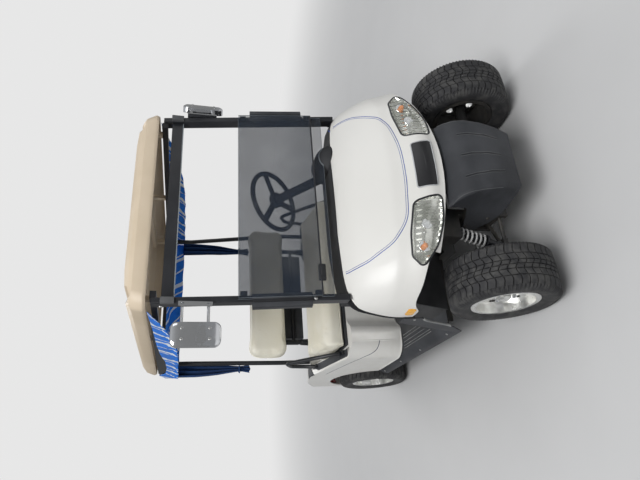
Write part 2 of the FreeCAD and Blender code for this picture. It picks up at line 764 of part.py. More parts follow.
def steering_column():
    tube = column_solid(column_radius, column_length)
    end = column_place().multVec(V(0, 0, -column_length - steering_hub_height / 2 + 5))
    rack_y = front_axle_y + steering_arm_length
    top_of_rack = V(70, rack_y, tie_rod_z + rack_housing_radius + 0.2)
    pinion = rod(tuple(top_of_rack), (70, rack_y, tie_rod_z + 64), 15)
    shaft = rod((70, rack_y, tie_rod_z + 56), tuple(end), 9)
    knee = Part.makeSphere(column_radius - 4, end)
    return fuse([tube, knee, shaft, pinion])


def steering_wheel():
    ring = Part.makeTorus(steering_ring_radius, steering_grip_radius, V(0, 0, 18))
    hub = Part.makeCylinder(steering_hub_radius, steering_hub_height, V(0, 0, -steering_hub_height / 2))
    pieces = [ring, hub]
    for angle in (90, 210, 330):
        spoke = Part.makeBox(steering_ring_radius - 6, 34, 7, V(0, -17, 3))
        spoke.rotate(V(0, 0, 0), V(0, 0, 1), angle)
        pieces.append(spoke)
    solid = fuse(pieces)
    solid.Placement = column_place()
    return solid


def pedals():
    pieces = []
    for x, width in ((steering_x + 10, 95.0), (steering_x - 110, 60.0)):
        top = [(toe_foot_y - 40, floor_top + 190), (toe_foot_y - 2, floor_top + 90),
               (toe_foot_y + 10, floor_top + 94), (toe_foot_y - 28, floor_top + 196)]
        pad = prism_yz(top, x - width / 2, x + width / 2)
        foot = [(toe_foot_y + 34, floor_top + seat_gap), (toe_foot_y + 60, floor_top + seat_gap),
                (toe_foot_y + 8, floor_top + 120), (toe_foot_y - 2, floor_top + 114)]
        pieces.append(fuse([pad, prism_yz(foot, x - 9, x + 9)]))
    return pieces


# Front bumper

def bumper_loft(inset):
    """Front face and both wings; the inner form is open at the rear and below."""
    wires = []
    for z, y0, half0, half1, half2 in bumper_sections:
        y0, y1, y2 = front_y + y0 + inset, front_y + bumper_side_y, front_y + bumper_tip_y + 2 * inset
        half0, half1, half2 = half0 - inset, half1 - inset, half2 - inset
        drop = inset if z == bumper_sections[-1][0] else 0
        wires.append(outline([(-half2, y2), (-half1, y1), (-half0, y0, 24), (half0, y0, 24), (half1, y1), (half2, y2)],
                             lambda a, b: V(a, b, z - drop)))
    return Part.makeLoft(wires, True, True)


def front_bumper():
    shell = bumper_loft(0).cut(bumper_loft(bumper_wall))
    side = prism_yz([(front_y + y, z, radius) for y, z, radius in bumper_edge], -cut_half, cut_half)
    return shell.common(side).cut([bumper_groove(place) for place in (-1, 0, 1)])


def bumper_groove(place):
    """Lens shaped groove that runs out at both ends; the outer two lean inwards at the foot."""
    middle, radius = V(place * groove_spacing, front_y + groove_depth, groove_z), groove_radius
    disc = Part.makeCylinder(radius, groove_width, middle - V(groove_width / 2, radius, 0), V(1, 0, 0))
    disc.rotate(middle, V(0, 1, 0), place * groove_lean)
    return disc


# Roof posts and glass

def strut_point(z):
    share = (z - strut_base[2]) / (strut_top[2] - strut_base[2])
    return [strut_base[i] + (strut_top[i] - strut_base[i]) * share for i in (0, 1)]


def strut_loft(grow):
    wires = []
    for z in (strut_foot_z, strut_top[2]):
        x, y = strut_point(z)
        w, d = strut_width / 2 + grow, strut_depth / 2 + grow
        wires.append(outline([(x - w, y - d, 6), (x + w, y - d, 6), (x + w, y + d, 6), (x - w, y + d, 6)],
                             lambda a, b: V(a, b, z)))
    return Part.makeLoft(wires, True, True)


def header_bar():
    low_y = strut_point(header_low)[1]
    high_x, high_y = strut_point(header_high)
    half = high_x - strut_width / 2 - seat_gap
    d = header_depth / 2
    return prism_yz([(low_y - d, header_low, 5), (high_y - d, header_high, 5),
                     (high_y + d, header_high, 5), (low_y + d, header_low, 5)], -half, half)


def strut_strip(z0, z1, near, far, x0, x1):
    """Slab that leans with the front posts, from near to far in front of them."""
    y0, y1 = strut_point(z0)[1] - strut_depth / 2, strut_point(z1)[1] - strut_depth / 2
    return prism_yz([(y0 - near, z0), (y0 - far, z0), (y1 - far, z1), (y1 - near, z1)], x0, x1)


def windshield():
    near = seat_gap
    lower = strut_strip(pane_low_z, pane_fold_z, near, near + pane_thickness, -pane_half, pane_half)
    near = seat_gap + pane_thickness + pane_spacing
    folded = strut_strip(pane_folded_low_z, pane_fold_z, near, near + pane_thickness, -pane_half, pane_half)
    return [lower.cut(hump(1.0)), folded]


def windshield_clips():
    pieces = []
    near = pane_thickness + 2 * seat_gap
    for z in (pane_low_z + 70, pane_fold_z - 22):
        x = strut_point(z)[0]
        pieces += both(strut_strip(z - 14, z + 14, near, near + pane_spacing - 2 * seat_gap, x - 26, x + 2))
    return pieces


def roof_rails():
    inner = rail_bar_outer - rail_bar_width
    top = rail_bar_low + rail_bar_height
    bars = both(box(inner, rail_bar_outer, roof_front_y + 30, roof_rear_y - 40, rail_bar_low, top))
    y = roof_rear_y - 90
    bars.append(box(-inner - 1, inner + 1, y, y + 26, rail_bar_low + 4, top))
    return fuse(bars)


def roof_loft(inset, drop):
    wires = []
    for z, rim_inset, corner in roof_sections:
        half = roof_half - rim_inset - inset
        y0, y1 = roof_front_y + rim_inset + inset, roof_rear_y - rim_inset - inset
        radius = corner - inset
        wires.append(outline([(-half, y0, radius), (half, y0, radius), (half, y1, radius), (-half, y1, radius)],
                             lambda a, b: V(a, b, z - drop)))
    return Part.makeLoft(wires, True, True)


def roof():
    ceiling = roof_sections[-1][0] + 12
    start = V(0, roof_front_y - 150, ceiling - roof_crown_radius)
    length = roof_rear_y - roof_front_y + 300
    crown = Part.makeCylinder(roof_crown_radius, length, start, V(0, 1, 0))
    low_crown = Part.makeCylinder(roof_crown_radius - roof_wall, length, start, V(0, 1, 0))
    shell = roof_loft(0, 0).common(crown)
    inside = roof_loft(roof_wall, 0).fuse(roof_loft(roof_wall, 20)).common(low_crown)
    below = roof_sections[-1][0] - roof_wall
    inside = inside.common(box(-cut_half, cut_half, roof_front_y, roof_rear_y, roof_low - 80, below))
    channel_z = roof_sections[-1][0] - 35 + channel_radius

    def channels(radius):
        return both(Part.makeCylinder(radius, length, V(channel_x, start.y, channel_z), V(0, 1, 0)))
    ribs = [Part.makeCylinder(ceiling_rib_radius, length, V(i * ceiling_rib_pitch, start.y, below), V(0, 1, 0))
            for i in (-2, -1, 0, 1, 2)]
    inside = inside.cut(channels(channel_radius + roof_wall) + ribs)
    posts = []
    inner, top = rail_bar_outer - rail_bar_width, rail_bar_low + rail_bar_height + seat_gap
    for y in (roof_front_y + 90, (roof_front_y + roof_rear_y) / 2, roof_rear_y - 90):
        posts += both(box(inner, inner + 22, y, y + 26, top, below + 1))
    room = roof_loft(1.0, 0).common(crown).fuse(box(-roof_half + 60, roof_half - 60, roof_front_y + 60, roof_rear_y - 60,
                                                    top, roof_low + 10))
    return fuse([shell.cut(inside)] + [post.common(room) for post in posts]).cut(channels(channel_radius))


def rear_strut():
    x, y = rail_bar_outer - rear_strut_radius, roof_rear_y - 71
    foot_x, foot_y = rail_bar_outer + 13, body_top_rear[0]
    points = [(x, y, rail_bar_low - 3 * seat_gap), (x, y - 6, 1500), (foot_x, foot_y, 900), (foot_x, foot_y - 10, 712)]
    return bent_tube(points, rear_strut_radius, 120)


# Seat

def seat_cushion():
    side = [(cushion_front_y + 6, cushion_low, 26), (cushion_front_y, cushion_front_z, 40),
            (cushion_front_y + 188, cushion_rear_z - 18, 500), (cushion_rear_y, cushion_rear_z, 34), (cushion_rear_y, cushion_low, 8)]
    return prism_yz(side, -cushion_half, cushion_half)


def seat_base():
    top = cushion_low - seat_gap
    low = top - seat_base_thickness
    plate = box(-cushion_half + 12, cushion_half - 12, cushion_front_y + 16, cushion_rear_y + 8, low, top)
    knuckles = []
    hinge_z = low + seat_hinge_radius
    for x in (-seat_hinge_x, seat_hinge_x):
        x0, x1 = x - seat_hinge_half, x + seat_hinge_half
        knuckles.append(box(x0, x1, cushion_rear_y, seat_hinge_y, hinge_z - 2, hinge_z + 4))
        knuckles.append(ring_x(seat_hinge_radius - seat_gap, x0, x1, seat_hinge_y, hinge_z))
    bore = ring_x(seat_pin_radius + seat_gap, -cushion_half, cushion_half, seat_hinge_y, hinge_z)
    return fuse([plate] + knuckles).cut(bore)


def seat_hinge():
    shelf, y = seat_shelf_z + seat_gap, seat_hinge_y
    pin_z = shelf + seat_hinge_radius
    pieces = []
    for side in (-1, 1):
        near = seat_hinge_x + side * (seat_hinge_half + seat_gap)
        far = near + side * 8
        pieces.append(box(min(near, far), max(near, far), y - 7, y + 14, shelf, pin_z + 6))
    half = seat_hinge_half + 8 + seat_gap
    pieces.append(ring_x(seat_pin_radius, seat_hinge_x - half, seat_hinge_x + half, y, pin_z))
    pieces.append(box(seat_hinge_x - half, seat_hinge_x + half, y + 9, y + 14, shelf, shelf + 16))
    return fuse(pieces)


def seat_back():
    y0, y1 = back_front_y, back_front_y + back_thickness
    front = [(-back_half, back_low, 60), (back_half, back_low, 60), (back_half, back_high, 60), (-back_half, back_high, 60)]
    return prism_xz(front, y0, y1)


def seat_frame():
    back_y = back_front_y + back_thickness + seat_gap
    pieces = []
    for side in (-1, 1):
        x = side * post_x
        pieces.append(rod((x, post_y, bag_high + 1), (x, post_y, back_high - 40), post_radius))
        pieces.append(Part.makeCone(post_radius + 11, post_radius + 4, post_boot_height, V(x, post_y, bag_high + 6)))
        pieces.append(box(x - 30, x + 30, back_y, post_y, back_low + 60, back_low + 160))
        pieces.append(box(x - 32, x + 32, post_y - 30, post_y + 34, bag_high + seat_gap, bag_high + 7))
    pieces.append(rod((-post_x, post_y, back_low - 60), (post_x, post_y, back_low - 60), crossbar_radius))
    pieces.append(bent_tube([(-post_x, post_y, 980), (-post_x, post_y + 260, 980),
                             (post_x, post_y + 260, 980), (post_x, post_y, 980)], 10, 60))
    return fuse(pieces)


def hip_restraint():
    x, radius = restraint_x, restraint_radius
    front, rear = body_front_y + 131, body_front_y + 487
    loop = bent_tube([(x, front, body_top(front) + 11), (x, front + 114, 760), (x, front + 259, 905), (x, front + 334, 860),
                      (x, rear, body_top(rear) + 6)], radius, 38)
    feet = []
    for y in (front, rear):
        y0, y1 = y - 30, y + 30
        z0, z1 = body_top(y0) + seat_gap, body_top(y1) + seat_gap
        feet.append(prism_yz([(y0, z0), (y1, z1), (y1, z1 + 12), (y0, z0 + 12)], x - radius, x + radius))
    return fuse([loop] + feet)


# Rear body

def body_top(y):
    """Height of the body's straight top edge beside the seat."""
    (y0, z0), (y1, z1) = body_top_front, body_top_rear
    return z0 + (y - y0) * (z1 - z0) / (y1 - y0)


def body_plan(inset):
    half, i = body_half, inset
    left = [(330, body_recess_y + i, 50), (392, body_front_y + i, 46), (half - 2 - i, body_front_y + i, 95 - i),
            (half - i, rear_axle_y, 900), (half - 14 - i, body_rear_y - i, 100 - i)]
    right = [(-x, y, r) for x, y, r in reversed(left)]
    return left + right


def body_side(inset):
    i = inset
    return [(body_front_y - 1, body_low - (1 if i else 0)), (body_front_y - 1, body_top_front[1] - i),
            (body_top_front[0], body_top_front[1] - i, 200),
            (body_top_rear[0], body_top_rear[1] - i, 260), (rear_axle_y + 131, 668 - i, 260),
            (body_rear_y - 40 - i, 566, 60), (body_rear_y + 1, 470), (body_rear_y + 1, 330),
            (body_rear_y - 85, body_low - (1 if i else 0))]


def rear_body():
    wide, ahead, behind, above = cut_half, body_front_y - 105, rear_y, 900
    plan = prism_xy(body_plan(0), body_low, above)
    plan_inside = prism_xy(body_plan(body_wall), body_low - 9, above)
    body = plan.common(prism_yz(body_side(0), -wide, wide))
    t = body_wall
    hollow = plan_inside.common(prism_yz(body_side(t), -wide, wide))
    body_cavity = hollow.common(box(-wide, wide, ahead, bag_front_y, 0, seat_shelf_z - t))
    fender = hollow.common(box(bag_half + t, wide, seat_well_rear_y + t, behind, 0, above))
    fender = fender.cut(box(0, seat_well_half + t, 0, lid_room_rear_y + t, bag_high - t, above))
    shoulder = hollow.common(box(seat_well_half + t, wide, ahead, seat_well_rear_y + t, 0, above))
    tail = hollow.common(box(-wide, wide, bag_front_y, behind, 0, seat_shelf_z))
    body = body.cut([body_cavity, fender, mirrored(fender), shoulder, mirrored(shoulder), tail])
    body = body.cut(box(-seat_well_half, seat_well_half, ahead, seat_well_rear_y, seat_shelf_z, above))
    body = body.cut(box(-seat_well_half, seat_well_half, seat_well_rear_y - 1, lid_room_rear_y, bag_high, above))
    body = body.cut(box(-bag_half, bag_half, bag_front_y - 8, behind, rear_bumper_high + 60, above))
    body = body.cut(box(-bag_half, bag_half, bag_front_y - 8, bag_rear_y + 2, bag_ledge_z - seat_gap, above))
    foot = bag_foot_half + seat_gap
    body = body.cut(box(-foot, foot, bag_front_y - 8, bag_rear_y + 2, 0, above))
    body = body.cut(box(-400, 400, body_front_y + 105, seat_well_rear_y - 70, seat_shelf_z - 20, above))
    body = body.cut(both(arch(rear_arch_radius, rear_axle_y, rear_arch_z, 380, wide)))
    body = body.cut(box(-380, 380, body_rear_y - 60, behind, 0, rear_bumper_high + 4))
    return body.cut(both(tail_prism(seat_gap)))


def bag_well():
    half, t = bag_half - seat_gap, bag_wall
    low = rail_rear_low + rail_height + seat_gap
    y0, y1 = bag_front_y, bag_rear_y
    foot = bag_foot_half
    tray = box(-foot, foot, y0, y1, low, bag_high).fuse(box(-half, half, y0, y1, bag_ledge_z, bag_high))
    room = box(-foot + t, foot - t, y0 + t, y1 - t, low + t, bag_high + 1)
    tray = tray.cut([room, box(-half + t, half - t, y0 + t, y1 - t, bag_ledge_z + t, bag_high + 1)])
    tray = tray.cut(box(-cut_half, cut_half, y0 + 150, y1 + 1, low + 110, bag_high + 1))
    rib = box(-6, 6, y0 + 150, y1 - 1, low, low + 50)
    deck = box(-half, half, y0, y0 + 110, bag_high - t, bag_high)
    return fuse([tray, rib, deck])


def rear_bumper():
    y0 = rear_y - rail_rear_end + seat_gap
    bar = prism_xy([(-rear_bumper_half, y0 + 18, 10), (-rear_bumper_half + 20, rear_y - 8, 30), (0, rear_y),
                    (rear_bumper_half - 20, rear_y - 8, 30), (rear_bumper_half, y0 + 18, 10), (0, y0)],
                   rear_bumper_low, rear_bumper_high)
    lip = box(-100, 100, y0 + 4, rear_y - 12, rear_bumper_low - 8, rear_bumper_low + 1)
    solid = fuse([bar, lip])
    holes = [rod((x, y0 + 34, 300), (x, y0 + 34, rear_bumper_low + 30), hitch_hole_radius)
             for x in (-hitch_spacing / 2, hitch_spacing / 2)]
    return solid.cut(holes)


def battery_pack():
    return box(-battery_half, battery_half, battery_front_y, battery_rear_y, rail_top + seat_gap, battery_high)


def rear_axle():
    y, z = rear_axle_y, wheel_z
    tube = ring_x(axle_tube_radius, -axle_tube_half, axle_tube_half, y, z)
    stub_half = rear_track / 2 + rim_width / 2 - rim_disc_inset + 2
    stub = ring_x(spindle_radius, -stub_half, stub_half, y, z)
    gear = ring_x(96, -105, -15, y, z)
    case = prism_yz([(motor_y - 70, motor_z - 60, 30), (y, z - 90, 30), (y, z + 90, 30), (motor_y - 70, motor_z + 70, 30)],
                    -95, -20)
    motor = ring_x(motor_radius, -20, 235, motor_y, motor_z)
    pads, ears = [], []
    for side in (-1, 1):
        x = side * spring_x
        top = spring_low_z() - seat_gap
        pads.append(box(x - 30, x + 30, y - 34, y + 34, z + 12, top))
        ears.append(box(side * 255 - 14, side * 255 + 14, y, y + 75, z - 34, z - 16))
    return fuse([tube, stub, gear, case, motor] + pads + ears)


def spring_low_z():
    return wheel_z + axle_tube_radius + 5


def leaf_spring():
    x0, x1 = spring_x - spring_width / 2, spring_x + spring_width / 2
    eye_z = rail_rear_low - seat_gap - spring_eye_radius
    y0, y1 = rear_axle_y - spring_half_length, rear_axle_y + spring_half_length
    low = spring_low_z()
    t = spring_thickness

    def strip(drop, cut):
        return [V(x0, y0 + cut, eye_z - drop), V(x0, rear_axle_y, low + t - drop), V(x0, y1 - cut, eye_z - drop)]
    upper, lower = strip(0, 0), strip(8, 0)
    edges = [Part.Arc(*upper).toShape(), Part.LineSegment(upper[2], lower[2]).toShape(),
             Part.Arc(*reversed(lower)).toShape(), Part.LineSegment(lower[0], upper[0]).toShape()]
    main = Part.Face(Part.Wire(edges)).extrude(V(x1 - x0, 0, 0))
    pack = box(x0, x1, rear_axle_y - 32, rear_axle_y + 32, low, low + t + 8)
    second = Part.Face(Part.Wire([
        Part.Arc(V(x0, y0 + 90, low + t + 10), V(x0, rear_axle_y, low + t - 7), V(x0, y1 - 90, low + t + 10)).toShape(),
        Part.LineSegment(V(x0, y1 - 90, low + t + 10), V(x0, y1 - 90, low + t + 2)).toShape(),
        Part.Arc(V(x0, y1 - 90, low + t + 2), V(x0, rear_axle_y, low), V(x0, y0 + 90, low + t + 2)).toShape(),
        Part.LineSegment(V(x0, y0 + 90, low + t + 2), V(x0, y0 + 90, low + t + 10)).toShape()]))
    second = second.extrude(V(x1 - x0, 0, 0))
    eyes = [ring_x(spring_eye_radius, x0, x1, y, eye_z) for y in (y0, y1)]
    return fuse([main, second, pack] + eyes)


def rear_damper():
    low = (255, rear_axle_y + 60, wheel_z - 16 + seat_gap)
    high = (255, rear_axle_y + 118, rail_rear_low + 10 - 6)
    body = rod(low, high, 19)
    y0, y1 = rear_axle_y - 130, rear_axle_y + 270
    x0, x1 = rail_outer, rail_outer + 140
    return body.cut([box(x0, x1, y0, y1, 0, low[2]), box(x0, x1, y0, y1, rail_rear_low + 10 - seat_gap, 600)])


# Lamps, mirrors and cloth

def lamp_prism(grow):
    """Almond shaped prism through the cowl's nose, larger all round by grow."""
    g = grow
    corners = [(149 - g, 517 - g, 20), (255, 512 - g, 300), (352, 538 - g, 130), (441 + g, 604, 16),
               (392 + g / 2, 644 + g, 34), (300, 645 + g, 300), (164 - g, 626 + g, 26)]
    return prism_xz(corners, front_y + 40, brow_front_y - 60)


def headlamp():
    outer = Part.makeLoft([cowl_wire(s, 0, brow_end_y) for s in cowl_sections], True, False)
    inner = Part.makeLoft([cowl_wire(s, lamp_depth, brow_end_y + 40) for s in cowl_sections], True, False)
    return lamp_prism(0).common(outer).cut(inner)


def mirror(swing):
    """Head and arms, swung back about the plate on the post; the arms of a swung one are longer."""
    z0, z1 = mirror_low + 36, mirror_high - 26
    x0, x1 = (strut_point(z)[0] + strut_width / 2 + seat_gap for z in (z0, z1))
    y0, y1 = mirror_y - mirror_depth / 2, mirror_y + mirror_depth / 2
    pivot, turn = (x0 + x1) / 2, math.radians(swing)
    reach = mirror_outer - pivot
    outer = pivot + (reach - mirror_depth / 2 * math.sin(turn)) / math.cos(turn)
    inner = outer - mirror_width
    pieces = [prism_xz([(inner, mirror_low, 28), (outer, mirror_low, 28),
                        (outer, mirror_high, 28), (inner, mirror_high, 28)], y0, y1)]
    for z in (mirror_low + 52, mirror_high - 42):
        x = strut_point(z)[0] + strut_width / 2 + mirror_plate
        pieces.append(rod((x, mirror_y, z), (inner + 12, mirror_y, z), 6))
    for piece in pieces:
        piece.rotate(V(pivot, mirror_y, 0), V(0, 0, 1), swing)
    plate = prism_xz([(x0, z0), (x1, z1), (x1 + mirror_plate, z1), (x0 + mirror_plate, z0)],
                     mirror_y - 14, mirror_y + 32)
    return fuse(pieces + [plate])


def tail_prism(grow):
    x0, x1, z0, z1 = 436 - grow, 518 + grow, 396 - grow, 452 + grow
    return prism_xz([(x0, z0, 10), (x1, z0, 10), (x1, z1, 10), (x0, z1, 10)], body_rear_y - 90, body_rear_y + 20)


def tail_lamp():
    outer = prism_xy(body_plan(0), body_low, 800).common(prism_yz(body_side(0), -700, 700))
    return tail_prism(0).common(outer).cut(prism_xy(body_plan(tail_lamp_depth), body_low - 9, 800))


def marker_prism(grow):
    y0, y1, z0, z1 = front_axle_y + 108 - grow, front_axle_y + 164 + grow, 582 - grow, 616 + grow
    return prism_yz([(y0, z0, 8), (y1, z0, 16), (y1, z1, 8), (y0, z1, 16)], brow_half, body_half + 60)


def marker_lamp():
    outer = Part.makeLoft([cowl_wire(s, -2.0, brow_end_y + 40) for s in cowl_sections], True, False)
    inner = Part.makeLoft([cowl_wire(s, marker_depth, brow_end_y + 60) for s in cowl_sections], True, False)
    return marker_prism(0).common(outer).cut(inner)


def sweater_basket():
    t = 4
    x, y0, y1, z0, z1 = 300, post_y + crossbar_radius + seat_gap, post_y + 190, 740, 890
    outer = box(-x, x, y0, y1, z0, z1)
    inner = box(-x + t, x - t, y0 + t, y1 - t, z0 + t, z1 + 1)
    shell = outer.cut(inner)
    slots = []
    for i in range(11):
        c = -x + 50 + i * 50
        slots.append(box(c - 15, c + 15, y1 - t - 1, y1 + 1, z0 + 30, z1 - 30))
    return shell.cut(slots)


def club_cover():
    t = cover_cloth
    top_z = roof_low - seat_gap
    side = [(cover_front_y, top_z), (cover_front_y, 1676), (cover_front_y + 310, 1597, 300),
            (cover_front_y + 728, 1547, 300),
            (cover_rear_y, cover_low_z), (cover_rear_y, cover_top_z), (roof_rear_y - 20, top_z)]
    valance = both(prism_yz(side, cover_half, cover_half + t))
    top = prism_yz([(roof_rear_y + 2, 1668), (cover_rear_y, cover_top_z), (cover_rear_y, cover_top_z - t),
                    (roof_rear_y + 2, 1668 - t)], -cover_half - 1, cover_half + 1)
    back = box(-cover_half - 1, cover_half + 1, cover_rear_y - t, cover_rear_y, cover_low_z, cover_top_z)
    flaps = both(box(400, cover_half + t, cover_rear_y - 46, cover_rear_y - 1, 1070, cover_low_z + 10))
    return fuse(valance + [top, back] + flaps)


front_x, rear_x = front_track / 2, rear_track / 2
pieces = {
    "frame": frame(),
    "floor_pan": floor_pan(),
    "side_sills": both(side_sill()),
    "front_cowl": front_cowl(),
    "dash_panel": dash_panel(),
    "headlamps": both(headlamp()),
    "front_bumper": front_bumper(),
    "steering_column": steering_column(),
    "pedals": pedals(),
    "rear_body": rear_body(),
    "battery_pack": battery_pack(),
    "rear_axle": rear_axle(),
    "leaf_springs": both(leaf_spring()),
    "rear_dampers": both(rear_damper()),
    "control_arms": both(control_arm()),
    "coilovers": both(coilover()),
    "front_struts": both(strut_loft(0)),
    "header_bar": header_bar(),
    "roof_rails": roof_rails(),
    "rear_struts": both(rear_strut()),
    "roof": roof(),
    "windshield": windshield(),
    "windshield_clips": windshield_clips(),
    "mirrors": [mirror(mirror_swing), mirrored(mirror(0))],
    "seat_back": seat_back(),
    "seat_frame": seat_frame(),
    "hip_restraints": both(hip_restraint()),
    "bag_well": bag_well(),
    "rear_bumper": rear_bumper(),
    "tail_lamps": both(tail_lamp()),
    "sweater_basket": sweater_basket(),
    "club_cover": club_cover(),
    "marker_lamps": both(marker_lamp()),
    "seat_cushion": seat_cushion(),
    "seat_base": seat_base(),
    "seat_hinges": both(seat_hinge()),
    "steering_wheel": steering_wheel(),
    "steering_rack": steering_rack(),
    "knuckle_left": knuckle(),
    "knuckle_right": mirrored(knuckle()),
    "tyre_front_left": tyre(front_x, front_axle_y),
    "tyre_front_right": tyre(-front_x, front_axle_y),
    "tyre_rear_left": tyre(rear_x, rear_axle_y),
    "tyre_rear_right": tyre(-rear_x, rear_axle_y),
    "rim_front_left": rim(front_x, front_axle_y, 1),
    "rim_front_right": rim(-front_x, front_axle_y, -1),
    "rim_rear_left": rim(rear_x, rear_axle_y, 1),
    "rim_rear_right": rim(-rear_x, rear_axle_y, -1),
}

for node, shape in pieces.items():
    solids = shape if isinstance(shape, list) else [shape]
    whole = Part.makeCompound(solids) if len(solids) > 1 else solids[0]
    whole.exportStep("parts/" + node + ".step")
    box_now = whole.BoundBox
    print(node, len(whole.Solids), whole.isValid(),
          [round(v) for v in (box_now.XMin, box_now.XMax, box_now.YMin, box_now.YMax, box_now.ZMin, box_now.ZMax)])
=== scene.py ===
import json
import math
import bpy
import bmesh
from mathutils import Matrix, Vector
from mathutils.bvhtree import BVHTree

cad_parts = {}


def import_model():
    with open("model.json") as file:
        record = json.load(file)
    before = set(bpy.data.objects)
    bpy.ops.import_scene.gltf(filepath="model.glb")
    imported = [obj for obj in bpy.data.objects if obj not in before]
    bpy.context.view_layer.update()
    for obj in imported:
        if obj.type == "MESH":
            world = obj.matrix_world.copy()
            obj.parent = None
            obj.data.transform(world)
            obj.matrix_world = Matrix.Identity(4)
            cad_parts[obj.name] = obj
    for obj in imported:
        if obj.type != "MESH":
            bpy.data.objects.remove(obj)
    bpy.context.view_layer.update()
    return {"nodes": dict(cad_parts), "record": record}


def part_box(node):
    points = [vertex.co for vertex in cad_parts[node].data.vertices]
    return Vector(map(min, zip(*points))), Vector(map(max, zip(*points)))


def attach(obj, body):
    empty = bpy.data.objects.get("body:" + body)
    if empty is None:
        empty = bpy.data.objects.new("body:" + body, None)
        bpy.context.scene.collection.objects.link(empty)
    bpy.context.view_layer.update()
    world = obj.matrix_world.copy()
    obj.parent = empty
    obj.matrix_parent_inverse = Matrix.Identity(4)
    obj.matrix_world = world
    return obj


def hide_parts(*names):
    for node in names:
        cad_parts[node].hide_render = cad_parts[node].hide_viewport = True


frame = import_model()
nodes = frame["nodes"]
bodyOf = {node: body for body, members in frame["record"]["behaviour"]["bodies"].items() for node in members}
print("frame loaded:", len(nodes), "nodes")


# camera, floor and lamps

camera = {
    "place": (-1.181, -2.7095, 1.514),
    "heading": 26.21,      # degrees from +Y towards +X
    "pitch": -14.35,
    "roll": 2.51,
    "lens": 28.6,
    "sensor": 36.0,
}

stage = {
    "floorHalf": 30.0,
    "floorTone": 0.60,
    "backTone": 0.80,
    "fadeFrom": 2.2,       # metres from the cart where the floor starts to melt into the backdrop
    "fadeTo": 7.0,
    "ambient": 0.46,
    "lamps": [             # place, aim, side length, watts
        ((-2.6, -3.4, 5.8), (0.0, -0.2, 0.7), 3.4, 265.0),
        ((3.8, -3.0, 3.6), (0.0, 0.0, 0.8), 3.2, 30.0),
        ((1.5, 5.0, 4.6), (0.0, 0.2, 0.8), 3.0, 90.0),
    ],
}


def linked(thing):
    bpy.context.scene.collection.objects.link(thing)
    return thing


def placeCamera():
    heading, pitch, roll = (math.radians(camera[k]) for k in ("heading", "pitch", "roll"))
    ahead = Vector((math.sin(heading) * math.cos(pitch), math.cos(heading) * math.cos(pitch), math.sin(pitch)))
    level = Vector((math.cos(heading), -math.sin(heading), 0))
    up = level.cross(ahead)
    right = level * math.cos(roll) + up * math.sin(roll)
    top = up * math.cos(roll) - level * math.sin(roll)
    lens = bpy.data.cameras.new("photoCamera")
    lens.lens, lens.sensor_width = camera["lens"], camera["sensor"]
    held = linked(bpy.data.objects.new("photoCamera", lens))
    # the photograph lies on its side, so the picture's right is the cart's down
    turn = Matrix((-top, right, -ahead)).transposed()
    held.matrix_world = Matrix.Translation(camera["place"]) @ turn.to_4x4()
    bpy.context.scene.camera = held


def placeLamps():
    for place, aim, side, watts in stage["lamps"]:
        lamp = bpy.data.lights.new("softLamp", "AREA")
        lamp.shape, lamp.size, lamp.energy = "SQUARE", side, watts
        held = linked(bpy.data.objects.new("softLamp", lamp))
        held.location = place
        held.rotation_euler = (Vector(aim) - Vector(place)).to_track_quat("-Z", "Y").to_euler()


# shader helper

def feed(tree, socket, value):
    # value is a Wire, a socket or plain
    value = getattr(value, "socket", value)
    if hasattr(value, "is_output"):
        tree.links.new(value, socket)
    elif socket.type == "RGBA":
        socket.default_value = (*value, 1.0)
    else:
        socket.default_value = value


def grow(tree, kind, values=None, settings=None):
    node = tree.nodes.new(kind)
    for key, value in (settings or {}).items():
        setattr(node, key, value)
    for key, value in (values or {}).items():
        feed(tree, node.inputs[key], value)
    return node


class Wire:
    def __init__(self, finish, socket):
        self.finish, self.socket = finish, socket

    def math(self, operation, first, second=0.0):
        return self.finish.add("ShaderNodeMath", {"operation": operation}, {0: first, 1: second})

    def __add__(self, other):
        return self.math("ADD", self, other)

    __radd__ = __add__

    def __sub__(self, other):
        return self.math("SUBTRACT", self, other)

    def __rsub__(self, other):
        return self.math("SUBTRACT", other, self)

    def __mul__(self, other):
        return self.math("MULTIPLY", self, other)

    __rmul__ = __mul__

    def __gt__(self, other):
        return self.math("GREATER_THAN", self, other)

    def __mod__(self, other):
        return self.math("FLOORED_MODULO", self, other)

    def __pow__(self, other):
        return self.math("POWER", self, other)

    def eased(self, low, high):
        values = {"Value": self, "From Min": low, "From Max": high}
        return self.finish.add("ShaderNodeMapRange", {"interpolation_type": "SMOOTHSTEP"}, values)


